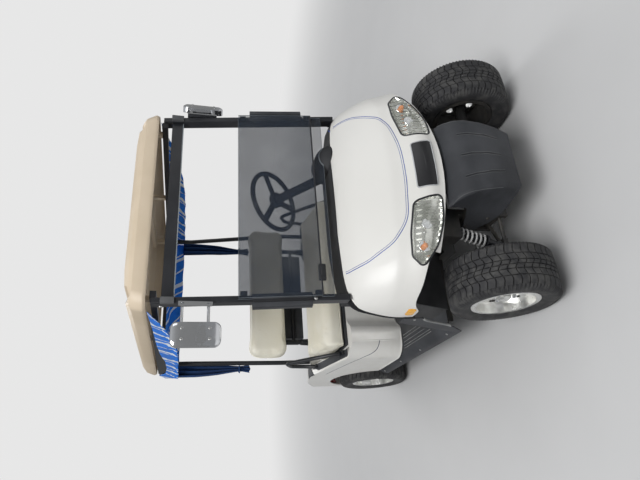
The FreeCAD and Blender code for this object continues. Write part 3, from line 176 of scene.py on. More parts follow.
class Finish:
    def __init__(self, name):
        self.material = bpy.data.materials.new(name)
        self.material.use_nodes = True
        self.tree = self.material.node_tree
        self.tree.nodes.clear()
        self.shader = self.add("ShaderNodeBsdfPrincipled")
        self.end = grow(self.tree, "ShaderNodeOutputMaterial", {0: self.shader})

    def add(self, kind, settings=None, values=None, out=0):
        return Wire(self, grow(self.tree, kind, values, settings).outputs[out])

    def set(self, values):
        for key, value in values.items():
            feed(self.tree, self.shader.socket.node.inputs[key], value)
        return self

    def place(self):
        return self.add("ShaderNodeTexCoord", out=3)

    def part(self, vector, axis):
        return self.add("ShaderNodeSeparateXYZ", values={0: vector}, out=axis)

    def noise(self, scale, detail=2.0):
        return self.add("ShaderNodeTexNoise", values={"Vector": self.place(), "Scale": scale, "Detail": detail})

    def waves(self, axis, scale):
        values = {"Vector": self.place(), "Scale": scale}
        return self.add("ShaderNodeTexWave", {"bands_direction": axis}, values)

    def cells(self, scale):
        values = {"Vector": self.place(), "Scale": scale}
        return self.add("ShaderNodeTexVoronoi", {"feature": "SMOOTH_F1"}, values)

    def blend(self, factor, first, second):
        return self.add("ShaderNodeMix", {"data_type": "RGBA"}, {0: factor, 6: first, 7: second}, 2)

    def bump(self, height, strength, distance):
        values = {"Height": height, "Strength": strength, "Distance": distance}
        return self.set({"Normal": self.add("ShaderNodeBump", values=values)})


# finishes

def gritty(name, dark, light, rough, grain, depth, patch=5.0):
    # moulded or painted surface: two tones in soft patches and a fine grain
    finish = Finish(name)
    fine = finish.noise(grain, 3.0)
    dust = finish.noise(patch, 4.0)
    tone = finish.blend(dust.eased(0.36, 0.66), dark, light)
    finish.set({"Base Color": tone, "Roughness": rough + 0.16 * (fine - 0.5) + 0.10 * (dust - 0.5)})
    return finish.bump(fine, 0.45, depth)


def bodyPaint():
    finish = Finish("bodyPaint")
    drift = finish.noise(2.6, 3.0)
    dust = finish.noise(21.0, 4.0)
    low = finish.part(finish.place(), 2).eased(0.75, 0.28)     # road dust gathers low down
    tone = finish.blend(drift.eased(0.3, 0.7), (0.775, 0.765, 0.73), (0.80, 0.79, 0.757))
    tone = finish.blend(low * dust.eased(0.35, 0.75) * 0.25, tone, (0.62, 0.59, 0.52))
    finish.set({"Base Color": tone, "Roughness": 0.34 + 0.06 * dust + 0.2 * low * dust})
    finish.set({"Coat Weight": 0.2, "Coat Roughness": 0.22})
    return finish.bump(finish.noise(330.0), 0.05, 0.0004)


def cartVinyl():
    finish = Finish("cartVinyl")
    grain = finish.cells(380.0)
    drift = finish.noise(7.0, 3.0)
    crease = finish.noise(26.0, 5.0)
    tone = finish.blend(drift.eased(0.3, 0.72), (0.86, 0.82, 0.68), (0.90, 0.87, 0.755))
    tone = finish.blend((crease.eased(0.60, 0.78)) * 0.25, tone, (0.62, 0.53, 0.36))
    finish.set({"Base Color": tone, "Roughness": 0.40 + 0.14 * drift + 0.08 * grain})
    finish.set({"Coat Weight": 0.08, "Coat Roughness": 0.3})
    return finish.bump(grain * 0.5 + crease * 1.2, 0.22, 0.0011)


def tyreRubber():
    finish = Finish("tyreRubber")
    dust = finish.noise(28.0, 5.0)
    fine = finish.noise(700.0, 2.0)
    tone = finish.blend(dust.eased(0.40, 0.72), (0.026, 0.026, 0.028), (0.068, 0.067, 0.065))
    finish.set({"Base Color": tone, "Roughness": 0.62 + 0.2 * dust})
    return finish.bump(fine, 0.3, 0.0004)


def machinedAlloy(name, axleY, axleZ):
    # lathe rings round the axle, and a little oxide
    finish = Finish(name)
    away = finish.part(finish.place(), 1) - axleY
    above = finish.part(finish.place(), 2) - axleZ
    reach = (away * away + above * above) ** 0.5
    rings = finish.add("ShaderNodeTexNoise", {"noise_dimensions": "1D"}, {"W": reach, "Scale": 900.0, "Detail": 1.0})
    oxide = finish.noise(34.0, 5.0)
    tone = finish.blend(oxide.eased(0.40, 0.80), (0.86, 0.86, 0.84), (0.77, 0.765, 0.74))
    finish.set({"Base Color": tone, "Metallic": 1.0, "Roughness": 0.22 + 0.06 * oxide + 0.06 * rings})
    return finish.bump(rings, 0.2, 0.0002)


def bright(name, tone, rough, ripple, depth):
    finish = Finish(name)
    finish.set({"Base Color": tone, "Metallic": 1.0, "Roughness": rough + 0.06 * finish.noise(40.0, 3.0)})
    return finish.bump(finish.noise(ripple, 2.0), 0.3, depth)


def flutedReflector():
    # vacuum plated bowl pressed in upright flutes, with patches painted dim that stand for dark reflections
    finish = Finish("lampReflector")
    flutes, rows = finish.waves("X", 13.0), finish.waves("Z", 5.0)
    paintedDarkReflection = finish.noise(9.0, 2.0)
    finish.set({"Base Color": finish.blend(paintedDarkReflection.eased(0.38, 0.62), (0.97, 0.97, 0.92), (0.50, 0.51, 0.46))})
    finish.set({"Metallic": 1.0, "Roughness": 0.07 + 0.10 * paintedDarkReflection})
    return finish.bump(flutes + rows * 0.6, 0.9, 0.004)


def smokedAcrylic():
    finish = Finish("smokedAcrylic")
    dust = finish.noise(9.0, 6.0)
    finish.set({"Base Color": finish.blend(dust.eased(0.45, 0.75), (0.022, 0.034, 0.056), (0.07, 0.08, 0.095))})
    finish.set({"Alpha": 0.27 + 0.10 * dust, "Roughness": 0.03 + 0.05 * dust, "Coat Weight": 1.0, "IOR": 1.49})
    return finish


def clearPlastic(name, tone, cover):
    finish = Finish(name)
    haze = finish.noise(24.0, 4.0)
    finish.set({"Base Color": tone, "Alpha": cover + 0.12 * haze, "Roughness": 0.03 + 0.08 * haze})
    finish.set({"Coat Weight": 1.0, "IOR": 1.5})
    return finish.bump(finish.noise(60.0), 0.05, 0.0005)


def lampLens(name, tone, clear=0.25):
    # solid coloured lens with moulded prisms
    finish = Finish(name)
    prisms = finish.waves("Z", 60.0)
    finish.set({"Base Color": finish.blend(prisms * 0.35, tone, [c * 0.7 for c in tone])})
    finish.set({"Roughness": 0.12 + 0.1 * finish.noise(50.0), "Coat Weight": 1.0, "Transmission Weight": clear})
    return finish.bump(prisms, 0.5, 0.0012)


def awningCloth(name, ground, stripe, stripes):
    # woven acrylic; stripes are (start, width) shares of one slanting repeat
    finish = Finish(name)
    across = finish.add("ShaderNodeUVMap", {"uv_map": "weave"})
    u, v = finish.part(across, 0), finish.part(across, 1)
    fade = finish.noise(12.0, 4.0)
    tone = finish.blend(fade.eased(0.3, 0.75), ground, [c * 1.3 for c in ground])
    if stripes:
        turn = ((u - v * 1.1 + 0.10 * finish.noise(5.0, 1.0)) * (1.0 / 0.70)) % 1.0
        mask = 0.0
        for start, width in stripes:
            mask = (turn > start) * (1.0 - (turn > start + width)) + mask
        tone = finish.blend(mask, tone, stripe)
    weave = ((u * 900.0) % 1.0 - 0.5) * ((v * 900.0) % 1.0 - 0.5)
    finish.set({"Base Color": tone, "Roughness": 0.78 + 0.12 * fade, "Sheen Weight": 0.06})
    return finish.bump(weave * 2.0 + fade * 0.4, 0.5, 0.0006)


finishes = {
    "paint": bodyPaint(),
    "plastic": gritty("grainedPlastic", (0.027, 0.029, 0.034), (0.052, 0.055, 0.062), 0.60, 620.0, 0.0009),
    # dark plastic for dark parts; on the dash panel and inside the front wheel wells its darkness is painted shade
    "darkPlasticAndPaintedShade": gritty("shadedPlastic", (0.011, 0.012, 0.014), (0.020, 0.021, 0.024), 0.66, 700.0, 0.0006),
    "tube": gritty("blackPowderCoat", (0.012, 0.013, 0.016), (0.022, 0.023, 0.027), 0.36, 480.0, 0.0002),
    "chassis": gritty("chassisPaint", (0.018, 0.018, 0.018), (0.050, 0.046, 0.040), 0.58, 240.0, 0.0005, 9.0),
    "roof": gritty("roofPlastic", (0.60, 0.495, 0.36), (0.665, 0.555, 0.42), 0.46, 540.0, 0.0005, 3.0),
    "mat": gritty("floorRubber", (0.028, 0.029, 0.032), (0.062, 0.063, 0.066), 0.74, 420.0, 0.0006),
    "vinyl": cartVinyl(),
    "tyre": tyreRubber(),
    "alloyFront": machinedAlloy("alloyFront", -0.940, 0.229),
    "alloyRear": machinedAlloy("alloyRear", 0.729, 0.229),
    "chrome": bright("chromePlate", (0.83, 0.84, 0.86), 0.04, 14.0, 0.004),
    "mirrorGlass": bright("silveredGlass", (0.88, 0.89, 0.90), 0.01, 4.0, 0.0004),
    "reflector": flutedReflector(),
    "steel": bright("plainSteel", (0.50, 0.50, 0.49), 0.34, 160.0, 0.0004),
    "spring": gritty("springPaint", (0.42, 0.42, 0.42), (0.60, 0.60, 0.59), 0.45, 300.0, 0.0003, 16.0),
    "smoke": smokedAcrylic(),
    "lens": clearPlastic("headlampLens", (0.80, 0.82, 0.74), 0.02),
    "glassBulb": clearPlastic("glassBulb", (0.80, 0.82, 0.84), 0.35),
    "amberBulb": lampLens("amberBulb", (1.0, 0.30, 0.02)),
    "paneEdge": gritty("acrylicEdge", (0.20, 0.23, 0.25), (0.30, 0.33, 0.35), 0.25, 500.0, 0.0001),
    "red": lampLens("redLens", (0.52, 0.016, 0.016)),
    "amber": lampLens("amberLens", (1.0, 0.47, 0.008), 0.0),
    "gasket": gritty("greyGasket", (0.075, 0.078, 0.082), (0.12, 0.122, 0.125), 0.6, 500.0, 0.0003),
    # light grey for painted highlights along lips and lines
    "paintedHighlight": gritty("paintedHighlightEdge", (0.23, 0.235, 0.235), (0.40, 0.40, 0.385), 0.5, 500.0, 0.0004, 12.0),
    "bodyLine": gritty("slateLine", (0.018, 0.030, 0.075), (0.035, 0.050, 0.11), 0.30, 500.0, 0.0001),
    "stripe": gritty("blueLine", (0.022, 0.060, 0.30), (0.035, 0.085, 0.38), 0.30, 500.0, 0.0001),
    "plate": gritty("badgePlate", (0.010, 0.010, 0.012), (0.020, 0.020, 0.022), 0.30, 500.0, 0.0002),
    "plateRim": gritty("badgeRim", (0.42, 0.43, 0.44), (0.56, 0.57, 0.58), 0.30, 500.0, 0.0002),
    "awning": awningCloth("awningCloth", (0.010, 0.175, 0.700), (0.80, 0.86, 0.92),
                          ((0.03, 0.045), (0.10, 0.018), (0.27, 0.05), (0.37, 0.016), (0.52, 0.035), (0.66, 0.018),
                           (0.74, 0.048), (0.90, 0.016))),
    # rolled corner curtains: plain blue of the same cloth, painted darker as shade
    "flap": awningCloth("flapClothPaintedShade", (0.004, 0.035, 0.13), (0.0, 0.0, 0.0), ()),
}
print("finishes:", len(finishes))


# making and dressing pieces

def dressed(piece, finish, node, replaced=False):
    # finish is a key of finishes; node gives the body
    piece.data.materials.clear()
    piece.data.materials.append(finishes[finish].material)
    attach(piece, bodyOf[node])
    if replaced:
        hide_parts(node)
    return piece


def repainted(piece, finish, chosen):
    # a second finish on the faces that chosen picks
    piece.data.materials.append(finishes[finish].material)
    for face in piece.data.polygons:
        if chosen(face):
            face.material_index = 1


def shaded(mesh, angle):
    mesh.polygons.foreach_set("use_smooth", [True] * len(mesh.polygons))
    mesh.set_sharp_from_angle(angle=math.radians(angle))


def pieceFrom(name, form, angle=32.0):
    # form is a bmesh; edges sharper than angle stay crisp
    mesh = bpy.data.meshes.new(name)
    form.to_mesh(mesh)
    form.free()
    shaded(mesh, angle)
    return linked(bpy.data.objects.new(name, mesh))


def outward(form):
    bmesh.ops.remove_doubles(form, verts=form.verts, dist=0.00001)
    bmesh.ops.recalc_face_normals(form, faces=form.faces)
    return form


def built(name, form, finish, node, angle=32.0, replaced=False):
    return dressed(pieceFrom(name, outward(form), angle), finish, node, replaced)


def ranModifiers(piece):
    # the piece takes on what its modifiers make
    seen = bpy.context.evaluated_depsgraph_get()
    seen.update()
    mesh = bpy.data.meshes.new_from_object(piece.evaluated_get(seen))
    piece.modifiers.clear()
    piece.data = mesh
    return mesh


def joined(form, other):
    # other goes into form
    mesh = bpy.data.meshes.new("passing")
    other.to_mesh(mesh)
    other.free()
    form.from_mesh(mesh)
    bpy.data.meshes.remove(mesh)
    return form


def flattened(node, angle):
    # the CAD piece with shared corners and one face where its triangles lie level
    form = weldedCopy(node)
    bmesh.ops.dissolve_limit(form, angle_limit=math.radians(angle), verts=form.verts, edges=form.edges)
    return form


def weldedCopy(node, reach=0.00003):
    form = bmesh.new()
    form.from_mesh(nodes[node].data)
    bmesh.ops.remove_doubles(form, verts=form.verts, dist=reach)
    bmesh.ops.dissolve_degenerate(form, edges=form.edges, dist=reach)
    return form


def refined(node, finish, angle=32.0, edge=0.0, flat=0.4):
    # the CAD piece itself with smooth rounds and, where edge is given, softened edges
    piece = pieceFrom(node + "_skin", flattened(node, flat), angle)
    if edge:
        bevel = piece.modifiers.new("softEdge", "BEVEL")
        bevel.width, bevel.segments, bevel.limit_method = edge, 2, "ANGLE"
        bevel.angle_limit, bevel.harden_normals = math.radians(38.0), True
    weighted = piece.modifiers.new("evenShade", "WEIGHTED_NORMAL")
    weighted.keep_sharp = True
    return dressed(piece, finish, node, True)


def skin(form, rings, closed=False, around=True):
    # four-sided faces between rings of equal count
    size = len(rings[0])
    for first, second in list(zip(rings, rings[1:])) + ([(rings[-1], rings[0])] if closed else []):
        for k in range(size if around else size - 1):
            j = (k + 1) % size
            form.faces.new((first[k], first[j], second[j], second[k]))


def beside(points, i, closed):
    # the points before and after point i
    last = len(points) - 1
    return points[i - 1 if i or closed else 0], points[(i + 1) % len(points) if closed else min(i + 1, last)]


def circle(count):
    return [math.tau * k / count for k in range(count)]


def addTube(form, points, radius, sides=12, closed=False, squash=1.0):
    # round bar along points; squash flattens it along its own second axis
    points = [Vector(p) for p in points]
    rings, side = [], None
    for i, point in enumerate(points):
        before, after = beside(points, i, closed)
        ahead = (after - before).normalized()
        if side is None:
            side = ahead.orthogonal().normalized()
        side = (side - ahead * side.dot(ahead)).normalized()
        other = ahead.cross(side) * squash
        rings.append([form.verts.new(point + side * math.cos(t) * radius + other * math.sin(t) * radius)
                      for t in circle(sides)])
    skin(form, rings, closed)
    if not closed:
        form.faces.new(list(reversed(rings[0])))
        form.faces.new(rings[-1])


def addBlock(form, low, high, edge=0.0, turn=None):
    made = bmesh.ops.create_cube(form, size=1.0)["verts"]
    low, high = Vector(low), Vector(high)
    for vert in made:
        vert.co = Vector([c * s for c, s in zip(vert.co, high - low)])
    if edge:
        edges = list({e for v in made for e in v.link_edges})
        made = bmesh.ops.bevel(form, geom=edges, offset=edge, segments=3, profile=0.5, affect="EDGES")["verts"]
    if turn:
        bmesh.ops.transform(form, matrix=turn, verts=made)
    bmesh.ops.translate(form, vec=(low + high) / 2, verts=made)


def addRevolved(form, line, centre, axis, steps, closed=True):
    # line holds (along, radius) pairs about a row axis through centre
    other = {0: (1, 2), 1: (2, 0), 2: (0, 1)}[axis]
    rings = []
    for k in range(steps):
        turn = math.tau * k / steps
        ring = []
        for along, radius in line:
            place = Vector(centre)
            place[axis] += along
            place[other[0]] += radius * math.cos(turn)
            place[other[1]] += radius * math.sin(turn)
            ring.append(form.verts.new(place))
        rings.append(ring)
    last = len(line) if closed else len(line) - 1
    for k in range(steps):
        here, following = rings[k], rings[(k + 1) % steps]
        for i in range(last):
            j = (i + 1) % len(line)
            form.faces.new((here[i], following[i], following[j], here[j]))
    if not closed:
        for i, flip in ((0, True), (len(line) - 1, False)):
            ring = [r[i] for r in rings]
            form.faces.new(ring if flip else list(reversed(ring)))


def surfaceOf(node):
    form = weldedCopy(node)
    tree = BVHTree.FromBMesh(form)
    form.free()
    return tree


# node trees for what repeats

def treeWith(name, inputs):
    tree = bpy.data.node_groups.new(name, "GeometryNodeTree")
    tree.interface.new_socket("Geometry", in_out="INPUT", socket_type="NodeSocketGeometry")
    for label, kind in inputs:
        tree.interface.new_socket(label, in_out="INPUT", socket_type="NodeSocket" + kind)
    tree.interface.new_socket("Geometry", in_out="OUTPUT", socket_type="NodeSocketGeometry")
    return tree


def turnedTree():
    # copies of the incoming piece, turned about an axis along X through centre
    tree = treeWith("turnedCopies", [("count", "Int"), ("centre", "Vector"), ("finish", "Material")])
    given = tree.nodes.new("NodeGroupInput").outputs
    back = grow(tree, "ShaderNodeVectorMath", {0: given["centre"], 3: -1.0}, {"operation": "SCALE"})
    homed = grow(tree, "GeometryNodeTransform", {"Geometry": given["Geometry"], "Translation": back.outputs[0]})
    points = grow(tree, "GeometryNodePoints", {"Count": given["count"]})
    index = grow(tree, "GeometryNodeInputIndex")
    step = grow(tree, "ShaderNodeMath", {0: math.tau, 1: given["count"]}, {"operation": "DIVIDE"})
    turn = grow(tree, "ShaderNodeMath", {0: index.outputs[0], 1: step.outputs[0]}, {"operation": "MULTIPLY"})
    angles = grow(tree, "ShaderNodeCombineXYZ", {0: turn.outputs[0]})
    spin = grow(tree, "FunctionNodeEulerToRotation", {0: angles.outputs[0]})
    copies = grow(tree, "GeometryNodeInstanceOnPoints", {"Points": points.outputs[0], "Instance": homed.outputs[0],
                                                         "Rotation": spin.outputs[0]})
    real = grow(tree, "GeometryNodeRealizeInstances", {0: copies.outputs[0]})
    moved = grow(tree, "GeometryNodeTransform", {"Geometry": real.outputs[0], "Translation": given["centre"]})
    finish = grow(tree, "GeometryNodeSetMaterial", {"Geometry": moved.outputs[0], "Material": given["finish"]})
    tree.links.new(finish.outputs[0], grow(tree, "NodeGroupOutput").inputs[0])
    return tree


def seatedTree():
    # one small piece on every incoming point, its own Z along the point's "facing"
    tree = treeWith("seatedCopies", [("small piece", "Object"), ("finish", "Material")])
    given = tree.nodes.new("NodeGroupInput").outputs
    facing = grow(tree, "GeometryNodeInputNamedAttribute", {"Name": "facing"}, {"data_type": "FLOAT_VECTOR"})
    aim = grow(tree, "FunctionNodeAlignRotationToVector", {"Vector": facing.outputs[0]}, {"axis": "Z"})
    small = grow(tree, "GeometryNodeObjectInfo", {"Object": given["small piece"]})
    copies = grow(tree, "GeometryNodeInstanceOnPoints", {"Points": given["Geometry"], "Rotation": aim.outputs[0],
                                                         "Instance": small.outputs["Geometry"]})
    real = grow(tree, "GeometryNodeRealizeInstances", {0: copies.outputs[0]})
    finish = grow(tree, "GeometryNodeSetMaterial", {"Geometry": real.outputs[0], "Material": given["finish"]})
    tree.links.new(finish.outputs[0], grow(tree, "NodeGroupOutput").inputs[0])
    return tree


turnedCopies, seatedCopies = turnedTree(), seatedTree()


def grown(piece, tree, values):
    # runs a node tree on the piece and keeps the result as its plain mesh
    modifier = piece.modifiers.new(tree.name, "NODES")
    modifier.node_group = tree
    for item in tree.interface.items_tree:
        if item.in_out == "INPUT" and item.name in values:
            modifier[item.identifier] = values[item.name]
    ranModifiers(piece)


def turned(piece, count, centre, finish):
    grown(piece, turnedCopies, {"count": count, "centre": centre, "finish": finishes[finish].material})


def screwHead(radius, height):
    # low domed head, standing on the origin
    form = bmesh.new()
    line = [(0.0, radius), (height * 0.45, radius * 0.96), (height * 0.85, radius * 0.70), (height, radius * 0.36)]
    addRevolved(form, [(0.0, 0.0001)] + line + [(height, 0.0001)], (0, 0, 0), 2, 14, closed=False)
    head = pieceFrom("screwHead", outward(form), 40.0)
    head.hide_render = True
    return head


def seated(name, places, small, finish, node):
    # places holds (point, facing) pairs
    mesh = bpy.data.meshes.new(name)
    mesh.from_pydata([place for place, facing in places], [], [])
    attribute = mesh.attributes.new("facing", "FLOAT_VECTOR", "POINT")
    for item, (place, facing) in zip(attribute.data, places):
        item.vector = facing
    piece = linked(bpy.data.objects.new(name, mesh))
    grown(piece, seatedCopies, {"small piece": small, "finish": finishes[finish].material})
    return dressed(piece, finish, node)


# tyres and rims

tyreSizes = {
    "radius": 0.229,
    "half": 0.084,            # of the tread
    "crown": 0.0042,
    "rows": 44,
    "grooveDeep": 0.0060,
    "groove": 0.0042,
    "chamfer": 0.0011,
    "wave": 0.0105,
    "waveLength": 0.085,
    "waveHalf": 0.088,
    "bands": (-0.0835, -0.0450, -0.0185, 0.0, 0.0185, 0.0450, 0.0835),
    "bandGap": 0.0036,
    "blockSteps": 4,
    "ridges": 2,              # shoulder ridges for each tread row
    "ridgeWidth": 0.0105,
    "steps": 108,
}
tyreSection = [               # (out from the middle, radius) of the body under the tread, from the bead up
    (0.0800, 0.1275), (0.0820, 0.1440), (0.0905, 0.1455), (0.0925, 0.1500), (0.0960, 0.1545), (0.1000, 0.1680),
    (0.1018, 0.1830), (0.1008, 0.1960), (0.0975, 0.2060), (0.0915, 0.2140), (0.0820, 0.2190), (0.0500, 0.2212),
]
ridgeSection = [(0.0840, 0.2243), (0.0915, 0.2186), (0.0965, 0.2115), (0.0998, 0.2030), (0.1018, 0.1930)]
ridgeProfile = [(-1.0, -0.0026), (-0.5, -0.0002), (0.0, 0.0008), (0.5, -0.0002), (1.0, -0.0026)]


def onTyre(form, middle, x, s, reach):
    # s runs round the tyre
    turn = s / tyreSizes["radius"]
    return form.verts.new((middle[0] + x, middle[1] - reach * math.sin(turn), middle[2] + reach * math.cos(turn)))


def addTreadBlock(form, x0, x1, s0, s1, middle):
    # block between two wavy cross grooves
    def wave(x):
        fade = max(0.0, 1.0 - (x / tyreSizes["waveHalf"]) ** 2)
        return tyreSizes["wave"] * math.sin(math.tau * x / tyreSizes["waveLength"]) * fade

    def top(x):
        return tyreSizes["radius"] - tyreSizes["crown"] * (x / tyreSizes["half"]) ** 2
    steps, cut = tyreSizes["blockSteps"], tyreSizes["chamfer"]
    rings = []
    for inset, sink in ((-0.0006, tyreSizes["grooveDeep"]), (0.0, cut), (cut, 0.0)):
        a, b = x0 + inset, x1 - inset
        line = [a + (b - a) * i / steps for i in range(steps + 1)]
        around = [(x, s0 + inset + wave(x)) for x in line] + [(x, s1 - inset + wave(x)) for x in reversed(line)]
        rings.append([onTyre(form, middle, x, s, top(x) - sink) for x, s in around])
    skin(form, rings)
    lid = rings[-1]
    for i in range(steps):
        form.faces.new((lid[i], lid[i + 1], lid[-2 - i], lid[-1 - i]))


def addShoulderRidge(form, side, s, middle):
    half = tyreSizes["ridgeWidth"] / 2
    rings = []
    for x, radius in ridgeSection:
        width = half * (0.35 if (x, radius) == ridgeSection[-1] else 1.0)
        rings.append([onTyre(form, middle, side * (x + rise * 0.8), s + shift * width, radius + rise)
                      for shift, rise in ridgeProfile])
    skin(form, rings, around=False)
    for ring in (rings[0], rings[-1]):
        form.faces.new(ring)


def tyre(node, middle):
    row = math.tau * tyreSizes["radius"] / tyreSizes["rows"]
    cross, gap, bands = tyreSizes["groove"] / 2, tyreSizes["bandGap"] / 2, tyreSizes["bands"]
    form = bmesh.new()
    for x0, x1 in zip(bands, bands[1:]):
        low, high = x0 + (gap if x0 > bands[0] else 0.0), x1 - (gap if x1 < bands[-1] else 0.0)
        addTreadBlock(form, low, high, cross, row - cross, middle)
    for side in (-1, 1):
        for k in range(tyreSizes["ridges"]):
            addShoulderRidge(form, side, row * (k + 0.5) / tyreSizes["ridges"], middle)
    piece = pieceFrom(node + "_tread", outward(form), 30.0)
    turned(piece, tyreSizes["rows"], middle, "tyre")
    form, body = bmesh.new(), bmesh.new()
    form.from_mesh(piece.data)
    section = tyreSection + [(-x, radius) for x, radius in reversed(tyreSection)]
    addRevolved(body, section, middle, 0, tyreSizes["steps"])
    joined(form, outward(body)).to_mesh(piece.data)
    form.free()
    shaded(piece.data, 30.0)
    dressed(piece, "tyre", node, True)


rimSizes = {
    "nuts": 4,
    "nutReach": 0.050,
    "nutRadius": 0.0105,
    "nutHeight": 0.017,
    "capRadius": 0.030,
    "dishFrom": 0.026,
    "dishOut": 0.047,
}


def wheelTrim(rim, alloy, middle, side):
    # chrome nuts on their circle and the centre cap
    def standing(line, place, steps):
        form = bmesh.new()
        addRevolved(form, [(side * along, radius) for along, radius in line], place, 0, steps, closed=False)
        return outward(form)
    face = middle[0] + side * rimSizes["dishOut"]
    wide, tall, cap = rimSizes["nutRadius"], rimSizes["nutHeight"], rimSizes["capRadius"]
    line = [(0.0, 0.0001), (0.0, wide), (tall * 0.7, wide), (tall, wide * 0.55), (tall, 0.0001)]
    piece = pieceFrom(rim + "_nuts", standing(line, (face, middle[1], middle[2] + rimSizes["nutReach"]), 6), 20.0)
    turned(piece, rimSizes["nuts"], middle, "chrome")
    dressed(piece, "chrome", rim)
    line = [(0.010, 0.0001), (0.010, cap), (0.020, cap * 0.96), (0.026, cap * 0.7), (0.028, 0.0001)]
    dressed(pieceFrom(rim + "_cap", standing(line, (face, middle[1], middle[2]), 32), 25.0), alloy, rim)


def wheels():
    for end, alloy in (("front", "alloyFront"), ("rear", "alloyRear")):
        for hand, side in (("left", 1), ("right", -1)):
            rim = f"rim_{end}_{hand}"
            low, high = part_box(rim)
            middle = (low + high) / 2
            tyre(f"tyre_{end}_{hand}", middle)
            # the barrel behind the dish takes the dark chassis paint: partly its own paint, partly painted shade for
            # the shadowed inside of the wheel
            repainted(refined(rim, alloy, 24.0), "chassis",
                      lambda face: side * (face.center.x - middle.x) < rimSizes["dishFrom"])
            wheelTrim(rim, alloy, middle, side)
    print("wheels: tread rows", tyreSizes["rows"])


# the backdrop

def world():
    sky = bpy.data.worlds.new("room")
    bpy.context.scene.world = sky
    sky.use_nodes = True
    tree = sky.node_tree
    tree.nodes.clear()
    rays = grow(tree, "ShaderNodeLightPath").outputs
    up = grow(tree, "ShaderNodeSeparateXYZ", {0: grow(tree, "ShaderNodeTexCoord").outputs[0]})
    height = grow(tree, "ShaderNodeMapRange", {0: up.outputs[2], 1: -0.25, 2: 0.9})
    tones = grow(tree, "ShaderNodeMix", {0: height.outputs[0], 6: (0.34, 0.34, 0.33), 7: (0.92, 0.94, 0.97)},
                 {"data_type": "RGBA"})
    seen = grow(tree, "ShaderNodeMath", {0: rays["Is Camera Ray"], 1: rays["Is Transmission Ray"]},
                {"operation": "MAXIMUM"})
    light = grow(tree, "ShaderNodeBackground", {0: tones.outputs[2], 1: stage["ambient"]})
    pale = grow(tree, "ShaderNodeBackground", {0: [stage["backTone"]] * 3, 1: 1.0})
    both = grow(tree, "ShaderNodeMixShader", {0: seen.outputs[0], 1: light.outputs[0], 2: pale.outputs[0]})
    grow(tree, "ShaderNodeOutputWorld", {0: both.outputs[0]})


def floor():
    # pale ground that keeps the shadow near the cart and melts into the backdrop
    form = bmesh.new()
    bmesh.ops.create_grid(form, x_segments=1, y_segments=1, size=stage["floorHalf"])
    ground = pieceFrom("ground", form)
    finish = Finish("groundFinish")
    drift = finish.noise(3.0, 4.0)
    finish.set({"Base Color": finish.blend(drift, [stage["floorTone"]] * 3, [stage["floorTone"] * 1.06] * 3)})
    finish.set({"Roughness": 0.8 + 0.1 * drift})
    spot = finish.place()
    x, y = finish.part(spot, 0), finish.part(spot, 1)
    away = ((x * x + y * y) ** 0.5).eased(stage["fadeFrom"], stage["fadeTo"])
    rays = grow(finish.tree, "ShaderNodeLightPath").outputs
    shown = away.math("MAXIMUM", rays["Is Camera Ray"], rays["Is Transmission Ray"])
    back = finish.add("ShaderNodeEmission", values={0: [stage["backTone"]] * 3, 1: 1.0})
    mixed = finish.add("ShaderNodeMixShader", values={0: away * shown, 1: finish.shader, 2: back})
    feed(finish.tree, finish.end.inputs[0], mixed)
    ground.data.materials.append(finish.material)


world()
floor()
placeCamera()
placeLamps()
bpy.context.scene.view_settings.view_transform = "Standard"


# trim that lies on a surface

def smoothLine(points, steps=6, closed=False):
    # rounded line through the points
    points = [Vector(p) for p in points]
    count = len(points)
    pick = (lambda i: points[i % count]) if closed else (lambda i: points[min(max(i, 0), count - 1)])
    line = []
    for i in range(count if closed else count - 1):
        a, b, c, d = pick(i - 1), pick(i), pick(i + 1), pick(i + 2)
        for k in range(steps):
            t = k / steps
            line.append(0.5 * (2 * b + (c - a) * t + (2 * a - 5 * b + 4 * c - d) * t ** 2
                               + (3 * b - a - 3 * c + d) * t ** 3))
    return line if closed else line + [points[-1]]


def rounded(corners, steps=6):
    # closed line of the corners (a, b, radius), each with its round
    line, count = [], len(corners)
    for i in range(count):
        here = Vector(corners[i][:2])
        back, ahead = (Vector(corners[i - 1][:2]) - here), (Vector(corners[(i + 1) % count][:2]) - here)
        half = back.angle(ahead) / 2
        cut = min(corners[i][2] / math.tan(half), back.length * 0.49, ahead.length * 0.49)
        radius = cut * math.tan(half)
        middle = here + (back.normalized() + ahead.normalized()).normalized() * (radius / math.sin(half))
        start, end = here + back.normalized() * cut - middle, here + ahead.normalized() * cut - middle
        turn = start.angle_signed(end, 0.0)
        for k in range(steps + 1):
            angle = -turn * k / steps
            line.append(middle + Vector((start.x * math.cos(angle) - start.y * math.sin(angle),
                                         start.x * math.sin(angle) + start.y * math.cos(angle))))
    return line


def plate(low, high, radius, inset=0.0):
    (a0, b0), (a1, b1) = low, high
    r, i = max(radius - inset, 0.0004), inset
    return rounded([(a0 + i, b0 + i, r), (a1 - i, b0 + i, r), (a1 - i, b1 - i, r), (a0 + i, b1 - i, r)])


def spread(line, count):
    # closed line as count points evenly spaced along it
    ends = list(zip(line, line[1:] + line[:1]))
    step = sum((b - a).length for a, b in ends) / count
    points, left = [], 0.0
    for a, b in ends:
        length = (b - a).length
        while left < length - 0.0000001 and len(points) < count:
            points.append(a + (b - a) * (left / length))
            left += step
        left -= length
    return points


def laidOn(tree, points):
    # nearest places on the surface with the way out of it
    found = [tree.find_nearest(Vector(p)) for p in points]
    return [(spot, normal) for spot, normal, index, far in found]


def castOn(tree, points, ahead=(0, 1, 0), reach=0.6):
    # places where rays along ahead meet the surface; points start reach before it
    ahead = Vector(ahead)
    path = []
    for point in points:
        spot, normal, index, far = tree.ray_cast(Vector(point) - ahead * reach, ahead)
        if spot is None:
            spot, normal, index, far = tree.find_nearest(Vector(point))
        path.append((spot, normal if normal.dot(ahead) < 0 else -normal))
    return path


